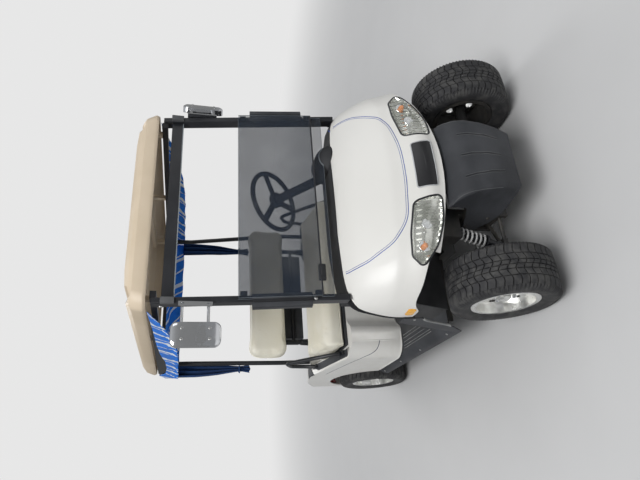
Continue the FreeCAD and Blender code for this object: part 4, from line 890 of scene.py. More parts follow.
def addStrip(form, path, profile, closed=False, shift=0.0):
    # profile holds (across, out) corners and runs along the path of (place, way out) pairs
    rings = []
    for i, (spot, normal) in enumerate(path):
        before, after = beside(path, i, closed)
        across = (after[0] - before[0]).cross(normal).normalized()
        rings.append([form.verts.new(spot + across * (a + shift) + normal * b) for a, b in profile])
    skin(form, rings, closed)
    if not closed:
        form.faces.new(rings[0])
        form.faces.new(rings[-1])


def flatProfile(width, rise, sink=0.0008):
    half, low = width / 2, rise * 0.6
    return [(-half, -sink), (-half, low), (-half * 0.8, rise), (half * 0.8, rise), (half, low), (half, -sink)]


def roundProfile(radius, sides=8):
    return [(radius * math.cos(t), radius * math.sin(t)) for t in circle(sides)]


def addRings(form, rings, close=(True, True)):
    # skin through closed rings of equal count; close fills the first and the last
    made = [[form.verts.new(p) for p in ring] for ring in rings]
    skin(form, made)
    for ring, fill in ((made[0], close[0]), (made[-1], close[1])):
        if fill:
            bmesh.ops.triangulate(form, faces=[form.faces.new(ring)])


def sided(points, side):
    return [(side * x, y, z) for x, y, z in points]


def fromFront(tree, line, side=1):
    # line holds (x, z) points, seen from the front
    return castOn(tree, [(side * p[0], -1.0, p[1]) for p in line])


cowlTree, bodyTree = surfaceOf("front_cowl"), surfaceOf("rear_body")

stripeSizes = {
    "hood": [(-0.357, -0.702, 0.862), (-0.372, -0.764, 0.854), (-0.371, -0.809, 0.832), (-0.364, -0.860, 0.798),
             (-0.356, -0.884, 0.779), (-0.341, -0.916, 0.753), (-0.324, -0.950, 0.724), (-0.307, -0.973, 0.704),
             (-0.275, -0.995, 0.682), (-0.245, -1.010, 0.666), (-0.213, -1.020, 0.656), (-0.169, -1.027, 0.652),
             (-0.114, -1.033, 0.649), (-0.058, -1.037, 0.646), (0.002, -1.037, 0.645), (0.070, -1.036, 0.647),
             (0.126, -1.031, 0.651), (0.188, -1.019, 0.660), (0.241, -1.006, 0.671), (0.279, -0.991, 0.686),
             (0.308, -0.974, 0.702), (0.329, -0.950, 0.724), (0.354, -0.916, 0.752), (0.379, -0.872, 0.784),
             (0.390, -0.834, 0.812), (0.398, -0.764, 0.847), (0.396, -0.714, 0.860)],
    "hoodLines": ((0.0, 0.00196), (0.0085, 0.00336)),     # (shift, width)
    "body": [(0.567, 0.520, 0.622), (0.567, 0.395, 0.597), (0.567, 0.202, 0.557), (0.565, 0.110, 0.532),
             (0.562, 0.073, 0.518), (0.550, 0.038, 0.476), (0.532, 0.017, 0.451), (0.507, 0.002, 0.438),
             (0.474, -0.005, 0.430)],      # a little outside, so the nearest place is on the outer face
    "bodyWidth": 0.0040,
}


def stripes():
    form = bmesh.new()
    path = laidOn(cowlTree, smoothLine(stripeSizes["hood"], 7))
    for shift, width in stripeSizes["hoodLines"]:
        addStrip(form, path, flatProfile(width, 0.0005, 0.002), shift=shift)
    built("hood_stripes", form, "stripe", "front_cowl")
    form = bmesh.new()
    for side in (-1, 1):
        line = smoothLine(sided(stripeSizes["body"], side), 7)
        addStrip(form, laidOn(bodyTree, line), flatProfile(stripeSizes["bodyWidth"], 0.0006, 0.002))
    built("body_stripes", form, "bodyLine", "rear_body")
    print("stripes laid on")


badge = {
    "low": (-0.114, 0.527),
    "high": (0.114, 0.608),
    "round": 0.012,
    "rim": 0.0045,
    "thick": 0.005,
    "face": (0.0045, 0.008, 0.013, 0.019, 0.026, 0.033, 0.0385),
}


def badgePlate():
    # bare plate between the headlamps, bent to the nose
    def ring(inset, rise):
        line = spread(plate(badge["low"], badge["high"], badge["round"], inset), 132)
        return [spot + normal * rise for spot, normal in fromFront(cowlTree, line)]
    rim, thick = badge["rim"], badge["thick"]
    form = bmesh.new()
    levels = [(rim * 1.4, -0.001), (0.0, -0.001), (0.0, thick * 0.7), (rim * 0.25, thick), (rim * 0.8, thick),
              (rim, thick * 0.55), (rim * 1.4, thick * 0.55)]
    addRings(form, [ring(*level) for level in levels], (False, False))
    built("badge_rim", form, "plateRim", "front_cowl", 35.0)
    form = bmesh.new()
    addRings(form, [ring(rim, -0.001)] + [ring(inset, thick * 0.6) for inset in badge["face"]], (False, True))
    built("badge_plate", form, "plate", "front_cowl", 35.0)
    print("badge plate")


lampSizes = {
    "corners": [(0.149, 0.517, 0.020), (0.255, 0.512, 0.300), (0.352, 0.538, 0.130), (0.441, 0.604, 0.016),
                (0.392, 0.644, 0.034), (0.300, 0.645, 0.300), (0.164, 0.626, 0.026)],
    "middle": (0.286, 0.584),
    "lens": 0.0022,
    "lensRings": (0.985, 0.93, 0.85, 0.74, 0.6, 0.44, 0.28, 0.12),
    "bowl": [(0.975, 0.0345), (0.975, 0.0035), (0.955, 0.010), (0.90, 0.014), (0.82, 0.019), (0.70, 0.0235),
             (0.52, 0.0265), (0.32, 0.028), (0.14, 0.028)],     # share of the outline, depth
    "gasket": 0.0075,
    "bulbs": {"bulbs": (0.262, 0.578, 0.0115), "turn_bulbs": (0.352, 0.592, 0.0125)},
    "bulbDeep": 0.0245,
}


def headlamps():
    tree = surfaceOf("headlamps")
    middle = Vector(lampSizes["middle"])
    outline = spread(rounded(lampSizes["corners"], 8), 120)
    finishOf = {"lenses": "lens", "reflectors": "reflector", "gaskets": "tube", "bulbs": "glassBulb",
                "turn_bulbs": "amberBulb", "rings": "chrome"}
    forms = {name: bmesh.new() for name in finishOf}
    for side in (-1, 1):
        def laid(scale):
            return fromFront(tree, [middle + (p - middle) * scale for p in outline], side)

        def ring(scale, back):
            return [spot + Vector((0, back, 0)) for spot, normal in laid(scale)]
        scales = lampSizes["lensRings"]
        inner = [ring(scale, lampSizes["lens"]) for scale in reversed(scales)]
        addRings(forms["lenses"], inner + [ring(scale, 0.0) for scale in scales])
        addRings(forms["reflectors"], [ring(*row) for row in lampSizes["bowl"]])
        addStrip(forms["gaskets"], laid(0.99), flatProfile(lampSizes["gasket"], 0.0016), closed=True)
        for name, (x, z, wide) in lampSizes["bulbs"].items():
            spot = fromFront(tree, [(x, z)], side)[0][0] + Vector((0, lampSizes["bulbDeep"], 0))
            line = [(0.0, 0.0001), (0.0, wide), (-0.008, wide), (-0.015, wide * 0.8), (-0.019, wide * 0.45),
                    (-0.020, 0.0001)]
            addRevolved(forms[name], line, spot, 1, 16, closed=False)
            line = [(0.004, 0.0001), (0.004, wide * 1.9), (0.001, wide * 2.0), (-0.001, wide * 1.9), (0.0005, wide)]
            addRevolved(forms["rings"], line, spot, 1, 24, closed=False)
    for name, finish in finishOf.items():
        built("headlamp_" + name, forms[name], finish, "headlamps", 40.0, name == "lenses")
    print("headlamps")


# windshield

paneSizes = {
    "latchAt": (-0.3675, 0.956),
    "latch": [((-0.0375, -0.020, -0.017), (0.0375, -0.001, 0.014), 0.004),
              ((-0.0195, -0.027, -0.009), (0.0195, -0.016, 0.007), 0.003)],     # corners and edge
    "seal": ((-0.4725, -0.7534, 0.9567), (0.4725, -0.7464, 0.9628)),
}


def panes():
    # smoked acrylic whose cut edges gather the light
    piece = dressed(pieceFrom("windshield_skin", flattened("windshield", 0.4), 30.0), "smoke", "windshield", True)
    repainted(piece, "paneEdge", lambda face: max(abs(face.normal.x), abs(face.normal.z)) > 0.6)
    spot = fromFront(surfaceOf("windshield"), [paneSizes["latchAt"]])[0][0]
    form = bmesh.new()
    for low, high, edge in paneSizes["latch"]:
        addBlock(form, spot + Vector(low), spot + Vector(high), edge)
    built("windshield_latch", form, "darkPlasticAndPaintedShade", "windshield_clips")
    form = bmesh.new()
    addBlock(form, *paneSizes["seal"], 0.001)
    built("windshield_seal", form, "tube", "windshield")
    print("windshield")


mirrorSizes = {
    "low": (0.567, 1.375),
    "high": (0.667, 1.575),
    "round": 0.028,
    "y": -0.655,
    "half": 0.013,
    "dome": 0.009,
    "pivot": (0.4802, -0.655, 0.0),
    "swing": 42.0,
    "reach": 0.0529,
    "clamp": 0.4945,
    "clampZ": (1.427, 1.533),
}


def mirrors():
    refined("mirrors", "chrome", 30.0, 0.0012)
    shells, glass, clamps = bmesh.new(), bmesh.new(), bmesh.new()
    places = []
    (x0, z0), (x1, z1) = mirrorSizes["low"], mirrorSizes["high"]
    y, half, dome = mirrorSizes["y"], mirrorSizes["half"], mirrorSizes["dome"]
    for side in (-1, 1):
        def placed(point):
            place = Vector(point)
            if side < 0:
                return Vector((-place.x, place.y, place.z))
            pivot, reach = Vector(mirrorSizes["pivot"]), Vector((mirrorSizes["reach"], 0.0, 0.0))
            return pivot + Matrix.Rotation(math.radians(mirrorSizes["swing"]), 3, "Z") @ (place + reach - pivot)

        def lay(form, levels):
            rings = []
            for inset, out in levels:
                line = plate((x0, z0), (x1, z1), mirrorSizes["round"], inset)
                rings.append([placed((p.x, y + out, p.y)) for p in line])
            addRings(form, rings)
        lay(shells, [(0.002, -half + 0.001), (0.002, -half - 0.001), (0.006, -half - dome * 0.45),
                     (0.013, -half - dome * 0.8), (0.024, -half - dome * 0.97), (0.040, -half - dome)])
        lay(glass, [(0.005, half - 0.001), (0.005, half + 0.0012), (0.007, half + 0.0018), (0.040, half + 0.0018)])
        out = (placed((0, -1, 0)) - placed((0, 0, 0))).normalized()
        places += [(placed((x, y - half - dome * 0.97, z)), out)
                   for x in (x0 + 0.028, x1 - 0.028) for z in (z0 + 0.045, z1 - 0.045)]
        for z in mirrorSizes["clampZ"]:
            line = [(-0.006, 0.0001), (-0.006, 0.011), (0.006, 0.011), (0.006, 0.0001)]
            addRevolved(clamps, line, (side * mirrorSizes["clamp"], y, z), 2, 16, closed=False)
    built("mirror_shells", shells, "chrome", "mirrors", 40.0)
    built("mirror_glasses", glass, "mirrorGlass", "mirrors", 30.0)
    seated("mirror_screws", places, screwHead(0.0062, 0.0028), "steel", "mirrors")
    built("mirror_clamps", clamps, "chrome", "mirrors")
    print("mirrors")


stripes()
badgePlate()
headlamps()
panes()
mirrors()


# striped cloth round the roof

coverSizes = {
    "half": 0.4920,
    "frontY": -0.560,
    "roofY": 0.779,
    "rearY": 0.8725,
    "top": [(-0.560, 1.6765), (-0.30, 1.6640), (0.0, 1.6560), (0.20, 1.6440), (0.38, 1.6220), (0.55, 1.6170),
            (0.70, 1.6260), (0.779, 1.6640), (0.8725, 1.6315)],
    "edge": [(-0.560, 1.6740), (-0.40, 1.632), (-0.25, 1.597), (-0.03, 1.566), (0.168, 1.552), (0.45, 1.549),
             (0.893, 1.5485)],
    # the rear cloth's way over the roof's end, (back from roofY, height)
    "rear": [(0.0, 1.6672), (0.0400, 1.6520), (0.0820, 1.6335), (0.0925, 1.6250), (0.0950, 1.600), (0.0950, 1.5485)],
    "trackX": 0.4875,
    "trackTop": 1.6655,
    "sideCut": (1.456, 0.108),
    "rearCut": (1.010, 0.196),
    "flapCut": (0.290, 0.490),
    "sideArea": 0.114,
    "flapArea": 0.120,
    "flapTop": 1.5560,
    "flapLow": 1.0720,
    "flapAt": (0.4455, 0.8540),
    "flapHalf": (0.0465, 0.0175),
    "flapNarrows": [(0.0, 1.0), (0.25, 0.92), (0.55, 0.72), (0.84, 0.40), (0.90, 0.42), (1.0, 0.62)],
    "tieZ": 1.148,
    "pleats": 3,
    "cloth": 0.0011,
}


def between(table, at):
    # straight between the rows (at, value)
    for (a, first), (b, second) in zip(table, table[1:]):
        if at <= b:
            return first + (second - first) * max(0.0, (at - a)) / (b - a)
    return table[-1][1]


def clothFrom(name, place, across, down, cut, finish):
    # place(u, v) is a point of the hung cloth; the weave keeps the flat cut's own metres
    rows = [[Vector(place(i / across, j / down)) for i in range(across + 1)] for j in range(down + 1)]
    form = bmesh.new()
    verts = [[form.verts.new(p) for p in row] for row in rows]
    weave = form.loops.layers.uv.new("weave")
    for j in range(down):
        for i in range(across):
            corners = ((i, j), (i, j + 1), (i + 1, j + 1), (i + 1, j))
            face = form.faces.new([verts[b][a] for a, b in corners])
            for loop, (a, b) in zip(face.loops, corners):
                loop[weave].uv = (cut[0] * a / across, cut[1] * b / down)
    piece = pieceFrom(name, form, 60.0)
    thick = piece.modifiers.new("cloth", "SOLIDIFY")
    thick.thickness, thick.offset = coverSizes["cloth"], 0.0
    dressed(piece, finish, "club_cover", True)
    wide = sum((a - b).length for row in rows for a, b in zip(row, row[1:])) / len(rows)
    tall = sum((rows[j + 1][i] - rows[j][i]).length for j in range(down) for i in range(across + 1)) / (across + 1)
    print(name, "hangs", round(wide, 3), "by", round(tall, 3))


def sideValance(side):
    def place(u, v):
        y = coverSizes["frontY"] + (coverSizes["rearY"] - coverSizes["frontY"]) * u
        top = between(coverSizes["top"], y)
        low = between(coverSizes["edge"], y)
        free = v * v * min(1.0, (top - low) / 0.06)
        fold = 0.0050 * math.sin(y * 47.0) + 0.0032 * math.sin(y * 103.0 + 1.0) + 0.0018 * math.sin(y * 211.0)
        hem = 0.0022 * math.sin(y * 39.0 + 0.6) * free
        return (side * (coverSizes["half"] + free * (fold + 0.0015)), y, top + (low - top) * v + hem)
    return place


def rearValance(u, v):
    x = (coverSizes["half"] + 0.0005) * (2 * u - 1)
    line = smoothLine([(0, coverSizes["roofY"] + y, z) for y, z in coverSizes["rear"]], 5)
    spot = line[min(round(v * (len(line) - 1)), len(line) - 1)]
    slack = math.sin(math.pi * min(1.0, v * 2.2)) * 0.0035 if v < 0.45 else 0.0
    free = max(0.0, v - 0.55) / 0.45
    fold = 0.0045 * math.sin(x * 41.0) + 0.0028 * math.sin(x * 97.0 + 2.0)
    drop = slack * (0.6 + 0.4 * math.cos(x * 9.0)) - free * 0.002 * math.sin(x * 33.0)
    return (x, spot.y + free * free * fold, spot.z - drop)


def rearFlap(side):
    # rolled up corner curtain: pleated, drawn in by a tie near its foot
    halfX, halfY = coverSizes["flapHalf"]
    x, y = coverSizes["flapAt"]
    top, low = coverSizes["flapTop"], coverSizes["flapLow"]

    def place(u, v):
        narrow = between(coverSizes["flapNarrows"], v)
        swing = 0.004 * math.sin(v * 5.0)
        phase = u * math.tau * coverSizes["pleats"]
        deep = math.sin(phase + 0.4 * v) * (0.9 + 0.1 * math.sin(v * 11.0 + u * 9.0))
        z = top + (low - top) * v + 0.008 * math.sin(u * 9.0) * v
        wide, thick = halfX * narrow * (2 * u - 1), halfY * min(1.0, narrow * 1.35)
        return (side * (x + wide + swing), y + thick * deep, max(z, low - 0.0008))
    return place


def awning():
    rail, hands = ["roof_rails"], ((1, "left"), (-1, "right"))
    for side, hand in hands:
        clothFrom("awning_" + hand, sideValance(side), 220, 14, coverSizes["sideCut"], "awning")
    clothFrom("awning_rear", rearValance, 150, 25, coverSizes["rearCut"], "awning")
    for side, hand in hands:
        clothFrom("awning_flap_" + hand, rearFlap(side), 72, 40, coverSizes["flapCut"], "flap")
    # dark track under the roof's lip that the side cloth hangs from; its black also stands for the painted shade
    # under the roof
    track, ties = bmesh.new(), bmesh.new()
    high = coverSizes["trackTop"]
    for side in (-1, 1):
        x, rings = side * coverSizes["trackX"], []
        for k in range(40):
            y = coverSizes["frontY"] + 0.01 + 0.033 * k
            low = between(coverSizes["top"], y)
            z, half = (high + low) / 2, (high - low) / 2 + 0.006
            if half > 0.004:
                rings.append([Vector((x + a, y, z + half * b))
                              for a, b in ((-0.0014, -1), (0.0014, -1), (0.0014, 1), (-0.0014, 1))])
        addRings(track, rings)
        x, y = coverSizes["flapAt"]
        ring = [(side * x + 0.0195 * math.cos(t), y + 0.0125 * math.sin(t), coverSizes["tieZ"])
                for t in circle(20)]
        addTube(ties, ring, 0.0042, 8, closed=True, squash=2.2)
    built("awning_track", track, "tube", "club_cover")
    built("awning_ties", ties, "flap", "club_cover")
    print("awning")


# padded pieces

padSizes = {
    "voxel": 0.0065,
    "pressure": 4.0,
    "frames": 20,
    "shift": 0.014,           # at most, by the pressure
    "droop": 0.016,
    "fill": 0.85,
    "welt": 0.0030,
}


def stuffed(node, shrink, floorZ=None, base=None):
    # the pad's CAD form, a little smaller, swollen by cloth pressure and then kept
    form = weldedCopy(node)
    low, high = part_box(node)
    middle, size = (low + high) / 2, high - low
    for vert in form.verts:
        vert.co = middle + Vector([(vert.co[i] - middle[i]) * (1 - 2 * shrink / size[i]) for i in range(3)])
    piece = pieceFrom(node + "_pad", form, 180.0)
    remesh = piece.modifiers.new("even", "REMESH")
    remesh.mode, remesh.voxel_size = "VOXEL", padSizes["voxel"]
    mesh = ranModifiers(piece)
    rest = [vert.co.copy() for vert in mesh.vertices]
    cloth = piece.modifiers.new("stuffing", "CLOTH")
    cloth.settings.use_pressure = True
    cloth.settings.uniform_pressure_force = padSizes["pressure"]
    cloth.settings.effector_weights.gravity = 0.0
    for step in range(1, padSizes["frames"] + 1):
        bpy.context.scene.frame_set(step)
    moved = ranModifiers(piece)
    piece.data = mesh
    bpy.context.scene.frame_set(1)
    for vert, home, there in zip(mesh.vertices, rest, moved.vertices):
        way = there.co - home
        vert.co = home + way * min(1.0, padSizes["shift"] / max(way.length, 0.00001))
        if floorZ is not None:
            vert.co.z = max(vert.co.z, floorZ)
    smooth = piece.modifiers.new("even", "SMOOTH")
    smooth.factor, smooth.iterations = 0.5, 8
    finer = piece.modifiers.new("finer", "SUBSURF")
    finer.levels = finer.render_levels = 1
    mesh = ranModifiers(piece)
    if base:
        # the cover is pulled down over the edge of its board
        baseLow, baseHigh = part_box(base)
        for vert in mesh.vertices:
            out = max(baseLow.y - vert.co.y, abs(vert.co.x) - baseHigh.x)
            share = min(1.0, max(0.0, out / 0.006)) * min(1.0, max(0.0, (floorZ + 0.060 - vert.co.z) / 0.050))
            vert.co.z -= padSizes["droop"] * share
    shaded(mesh, 180.0)
    dressed(piece, "vinyl", node, True)
    return piece


def welt(node, pad, points):
    # cord sewn into the cover
    padForm, form = bmesh.new(), bmesh.new()
    padForm.from_mesh(pad.data)
    addStrip(form, laidOn(BVHTree.FromBMesh(padForm), points), roundProfile(padSizes["welt"]), closed=True)
    padForm.free()
    built(node + "_welt", form, "vinyl", node)


def seats():
    low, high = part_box("seat_cushion")
    pad = stuffed("seat_cushion", 0.004, low.z + 0.0015, "seat_base")
    ring = spread(plate((low.x, low.y + 0.004), (high.x, high.y), 0.05, -0.004), 240)
    welt("seat_cushion", pad, [(p.x, p.y, low.z + 0.004) for p in ring])
    low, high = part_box("seat_back")
    pad = stuffed("seat_back", 0.003)
    ring = spread(plate((low.x, low.z), (high.x, high.z), 0.075, -0.01), 220)
    welt("seat_back", pad, [(p.x, high.y - 0.024, p.y) for p in ring])
    print("cushions")


awning()
seats()


# posts, header and sills

postSizes = {
    "sleeve": [((-0.511, -0.7060, 0.997), (-0.453, -0.6990, 1.251)),
               ((-0.511, -0.7130, 0.997), (-0.491, -0.672, 1.251)),
               ((-0.476, -0.7125, 1.000), (-0.453, -0.7000, 1.254))],
    "lean": -math.atan2(0.123, 0.814),     # of the posts, away from the front
    "bracket": ((0.4535, -0.6465, 1.566), (0.4795, -0.6225, 1.622)),
    "strip": 0.004,
}


def addMirrored(form, low, high, edge=0.0, turn=None):
    # a block on both sides
    for side in (-1, 1):
        x0, x1 = sorted((side * low[0], side * high[0]))
        addBlock(form, (x0, low[1], low[2]), (x1, high[1], high[2]), edge, turn)


def postTrim():
    # channel over each post's foot, its two faces apart
    lean = Matrix.Rotation(postSizes["lean"], 4, "X")
    for name, finish, sleeve in (("post_channels", "darkPlasticAndPaintedShade", postSizes["sleeve"][:1]),
                                 ("post_faces", "plastic", postSizes["sleeve"][1:])):
        form = bmesh.new()
        for low, high in sleeve:
            addMirrored(form, low, high, 0.0022, lean)
        built(name, form, finish, "front_struts")
    form = bmesh.new()
    low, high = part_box("header_bar")
    addBlock(form, (low.x + 0.004, low.y - 0.0012, low.z - 0.0005),
             (high.x - 0.004, low.y + 0.0015, low.z + postSizes["strip"]), 0.0005)
    built("header_lip", form, "paneEdge", "header_bar")
    form = bmesh.new()
    addMirrored(form, *postSizes["bracket"], 0.0015)
    built("header_brackets", form, "gasket", "header_bar")
    print("post trim")


sillSizes = {
    "arch": [(-0.420, 0.0, 0.0), (-0.310, 0.420, 0.060), (-0.070, 0.588, 0.110), (0.075, 0.606, 0.090),
             (0.210, 0.500, 0.090), (0.283, 0.345, 0.090), (0.392, 0.222, 0.004), (0.420, 0.0, 0.0)],
    "axleY": -0.940,
    "lip": 0.0056,
    "lipX": 0.5755,
    "lipFrom": (0.184, 0.2235),     # behind and above which the lip runs
    "stepRear": -0.012,
    "floorHalf": 0.469,
    "lines": [(0.523, -0.365), (0.510, -0.357), (0.489, -0.292), (0.466, -0.249), (0.449, -0.201)],
    "corner": [(0.556, 0.607, 0.709), (0.558, 0.571, 0.691), (0.558, 0.526, 0.677), (0.545, 0.521, 0.698),
               (0.509, 0.553, 0.705), (0.472, 0.580, 0.706), (0.465, 0.640, 0.705), (0.500, 0.690, 0.700),
               (0.544, 0.665, 0.704)],
    "cornerLift": 0.018,      # up and out, so that the nearest place is on the outer face
    "cornerRings": [(1.0, -0.001), (1.0, 0.0015), (0.97, 0.0024), (0.85, 0.0024), (0.68, 0.0024), (0.5, 0.0024),
                    (0.32, 0.0024), (0.12, 0.0024)],
    "inset": [(0.5005, 0.070, 0.012), (0.5445, 0.070, 0.018), (0.5445, 0.46, 0.024), (0.5005, 0.56, 0.012)],
    "insetRings": [(0.0, -0.001), (0.0, 0.0015), (0.0015, 0.0022), (0.006, 0.0022), (0.012, 0.0022), (0.018, 0.0022)],
    "bodyLip": [(0.556, 0.405), (0.557, 0.25), (0.556, 0.12), (0.549, 0.055), (0.528, 0.022), (0.49, 0.008),
                (0.44, 0.0065), (0.405, 0.012), (0.375, 0.045), (0.345, 0.075), (0.300, 0.0795)],
    "bodyLipZ": 0.2935,
    "screws": [(-0.527, 0.262), (-0.470, 0.262), (-0.150, 0.262), (0.130, 0.262), (0.400, 0.262), (-0.735, 0.552)],
}


def sillTrim():
    # rolled lip round the front wheel opening, the step's lines and the screws along it; the lip and the lines are a
    # light grey that is painted highlight
    tree, floorTree = surfaceOf("side_sills"), surfaceOf("floor_pan")
    lips, steps, places = bmesh.new(), bmesh.new(), []
    behind, above = sillSizes["lipFrom"]
    arch = [p for p in rounded(sillSizes["arch"], 10) if p.x > behind and p.y > above]
    for side in (-1, 1):
        line = [(side * sillSizes["lipX"], sillSizes["axleY"] + p.x, p.y) for p in arch]
        addTube(lips, smoothLine(line, 2), sillSizes["lip"], 10)
        for y, z in sillSizes["screws"]:
            places += castOn(tree, [(side * 0.62, y, z)], (-side, 0, 0), 0.1)
        for x, y in sillSizes["lines"]:
            ground = tree if x > sillSizes["floorHalf"] else floorTree
            line = [(side * x, y + (sillSizes["stepRear"] - y) * k / 12, 0.45) for k in range(13)]
            addStrip(steps, castOn(ground, line, (0, 0, -1), 0.1), flatProfile(0.0020, 0.0016))
    built("sill_lips", lips, "paintedHighlight", "side_sills")
    built("step_lines", steps, "paintedHighlight", "side_sills")
    seated("sill_screws", places, screwHead(0.0062, 0.0028), "steel", "side_sills")
    print("sill trim")


def bodyTrim():
    # the painted body's own lip over the sill, and the dark insets beside and behind the seat
    lips, insets, corners = bmesh.new(), bmesh.new(), bmesh.new()
    for side in (-1, 1):
        line = [(side * x, y, sillSizes["bodyLipZ"]) for x, y in sillSizes["bodyLip"]]
        addTube(lips, [spot for spot, normal in laidOn(bodyTree, smoothLine(line, 5))], 0.0042, 8)
        rings = []
        for inset, rise in sillSizes["insetRings"]:
            line = [(x + (inset if x < 0.52 else -inset), y + (inset if y < 0.1 else -inset), r)
                    for x, y, r in sillSizes["inset"]]
            path = castOn(bodyTree, [(side * p.x, p.y, 0.9) for p in spread(rounded(line), 90)], (0, 0, -1), 0.05)
            rings.append([spot + normal * rise for spot, normal in path])
        addRings(insets, rings, (False, True))
        line = spread(smoothLine(sided(sillSizes["corner"], side), 5, True), 72)
        middle = sum(line, Vector()) / len(line)
        lift = Vector((side, 0, 1)) * sillSizes["cornerLift"]
        rings = []
        for scale, rise in sillSizes["cornerRings"]:
            path = laidOn(bodyTree, [middle + (p - middle) * scale + lift for p in line])
            rings.append([spot + normal * rise for spot, normal in path])
        addRings(corners, rings, (False, True))
    built("body_lip", lips, "paint", "rear_body")
    built("side_insets", insets, "plastic", "rear_body")
    built("deck_corners", corners, "plastic", "rear_body")
    print("body trim")


springSizes = {
    "low": (0.298, -0.940, 0.1973),
    "high": (0.222, -0.940, 0.466),
    "turns": 8.0,
    "from": 0.062,
    "long": 0.170,
    "radius": 0.0245,
    "wire": 0.0044,
    "points": 220,
    "bars": [(0.0, 0.150, 0.0168, 20), (0.055, 0.0615, 0.0288, 28), (0.2325, 0.240, 0.0288, 28),
             (0.145, 0.25924, 0.0075, 20)],     # start, end, radius, sides
}


def coilSprings():
    # the damper inside its spring, on both sides of the front
    coils, dampers = bmesh.new(), bmesh.new()
    for side in (-1, 1):
        low, high = (Vector(p) for p in sided((springSizes["low"], springSizes["high"]), side))
        axis = (high - low).normalized()
        first = Vector((0, 1, 0))
        second = axis.cross(first)
        line = []
        for k in range(springSizes["points"] + 1):
            t = k / springSizes["points"]
            turn = math.tau * springSizes["turns"] * t
            # the end turns lie closer
            flat = 0.028 + 0.944 * t + 0.022 * math.sin(math.tau * (t - 0.5)) * (1.0 if abs(t - 0.5) > 0.4 else 0.4)
            line.append(low + axis * (springSizes["from"] + springSizes["long"] * min(max(flat, 0.02), 0.98))
                        + (first * math.cos(turn) + second * math.sin(turn)) * springSizes["radius"])
        addTube(coils, line, springSizes["wire"], 8)
        for start, end, radius, sides in springSizes["bars"]:
            addTube(dampers, [low + axis * at for at in (start, start + 0.0006, end - 0.0006, end)], radius, sides)
        addRevolved(dampers, [(-0.018, 0.006), (-0.018, 0.0148), (0.018, 0.0148), (0.018, 0.006)], low, 1, 24)
        addTube(dampers, [(high.x, high.y, 0.430), (high.x, high.y, 0.4695)], 0.0118, 16)
    built("coil_springs", coils, "spring", "coilovers", 60.0, True)
    built("coil_dampers", dampers, "tube", "coilovers")
    print("coil springs")


bumperSizes = {
    "grooves": 0.092,
    "middle": 0.345,
    "lean": math.radians(8.0),
    "from": 0.268,
    "to": 0.438,
    "crease": [(0.198, -1.093, 0.476), (0.190, -1.119, 0.470), (0.181, -1.147, 0.452), (0.175, -1.173, 0.416),
               (0.167, -1.186, 0.353), (0.158, -1.187, 0.290)],
}


def bumperTrim():
    # painted shade on the floors and painted highlight on the rims of the pressed grooves, and a painted highlight
    # along the crease on both sides
    tree = surfaceOf("front_bumper")
    floors, rims = bmesh.new(), bmesh.new()
    low, high = bumperSizes["from"], bumperSizes["to"]
    heights = [low + (high - low) * k / 24 for k in range(25)]
    lean, middle = math.tan(bumperSizes["lean"]), bumperSizes["middle"]
    for place in (-1, 0, 1):
        def row(offset):
            return fromFront(tree, [(place * (bumperSizes["grooves"] + lean * (z - middle)) + offset, z)
                                    for z in heights])
        addStrip(floors, row(0.0), flatProfile(0.0062, 0.0006))
        for offset in (-0.0050, 0.0050):
            addStrip(rims, row(offset), flatProfile(0.0022, 0.0007))
    for side in (-1, 1):
        line = smoothLine(sided(bumperSizes["crease"], side))
        addStrip(rims, laidOn(tree, line), roundProfile(0.0016))
    built("bumper_groove_floors", floors, "tube", "front_bumper")
    built("bumper_groove_rims", rims, "gasket", "front_bumper")
    print("bumper trim")


# controls

controlSizes = {
    "hub": (0.238, -0.300, 1.060),
    "angle": 38.0,
    "grip": (0.165, 0.018, 0.0130),     # radius of the wheel, height and thickness of its rim
    "ridges": 36,
    "pedals": ((0.206, 0.290), (0.103, 0.153)),
    "pedalZ": 0.395,
}


def controls():
    # column frame: its own Z runs up the column towards the driver
    angle = math.radians(controlSizes["angle"])
    up, right = Vector((0, math.cos(angle), math.sin(angle))), Vector((1, 0, 0))
    spin = Matrix((right, up.cross(right), up)).transposed()
    seatedAt = Matrix.Translation(controlSizes["hub"]) @ spin.to_4x4()
    form = bmesh.new()
    line = [(0.013, 0.0001), (0.013, 0.040), (0.020, 0.037), (0.026, 0.028), (0.029, 0.014), (0.030, 0.0001)]
    addRevolved(form, line, (0, 0, 0), 2, 36, closed=False)
    bmesh.ops.transform(form, matrix=seatedAt, verts=form.verts)
    built("wheel_cap", form, "plastic", "steering_wheel", 40.0)
    # wrapped grip: fine ridges under the fingers, none where a spoke or its gap is
    form = bmesh.new()
    reach, height, thick = controlSizes["grip"]
    for k in range(controlSizes["ridges"]):
        if k % 6:
            turn = math.tau * (k + 0.5) / controlSizes["ridges"]
            out = Vector((math.cos(turn), math.sin(turn), 0))
            ring = [out * (reach + thick * math.cos(a)) + Vector((0, 0, height + thick * math.sin(a)))
                    for a in circle(14)]
            addTube(form, ring, 0.0011, 5, closed=True)
    bmesh.ops.transform(form, matrix=seatedAt, verts=form.verts)
    built("wheel_ridges", form, "darkPlasticAndPaintedShade", "steering_wheel", 60.0)
    form = bmesh.new()
    tree = surfaceOf("pedals")
    for x0, x1 in controlSizes["pedals"]:
        for k in range(6):
            z = controlSizes["pedalZ"] + 0.014 * k
            path = castOn(tree, [(x, 0.0, z) for x in (x0, (x0 + x1) / 2, x1)], (0, -1, 0), 0.3)
            addStrip(form, path, flatProfile(0.007, 0.0026))
    built("pedal_rubbers", form, "mat", "pedals")
    print("controls")


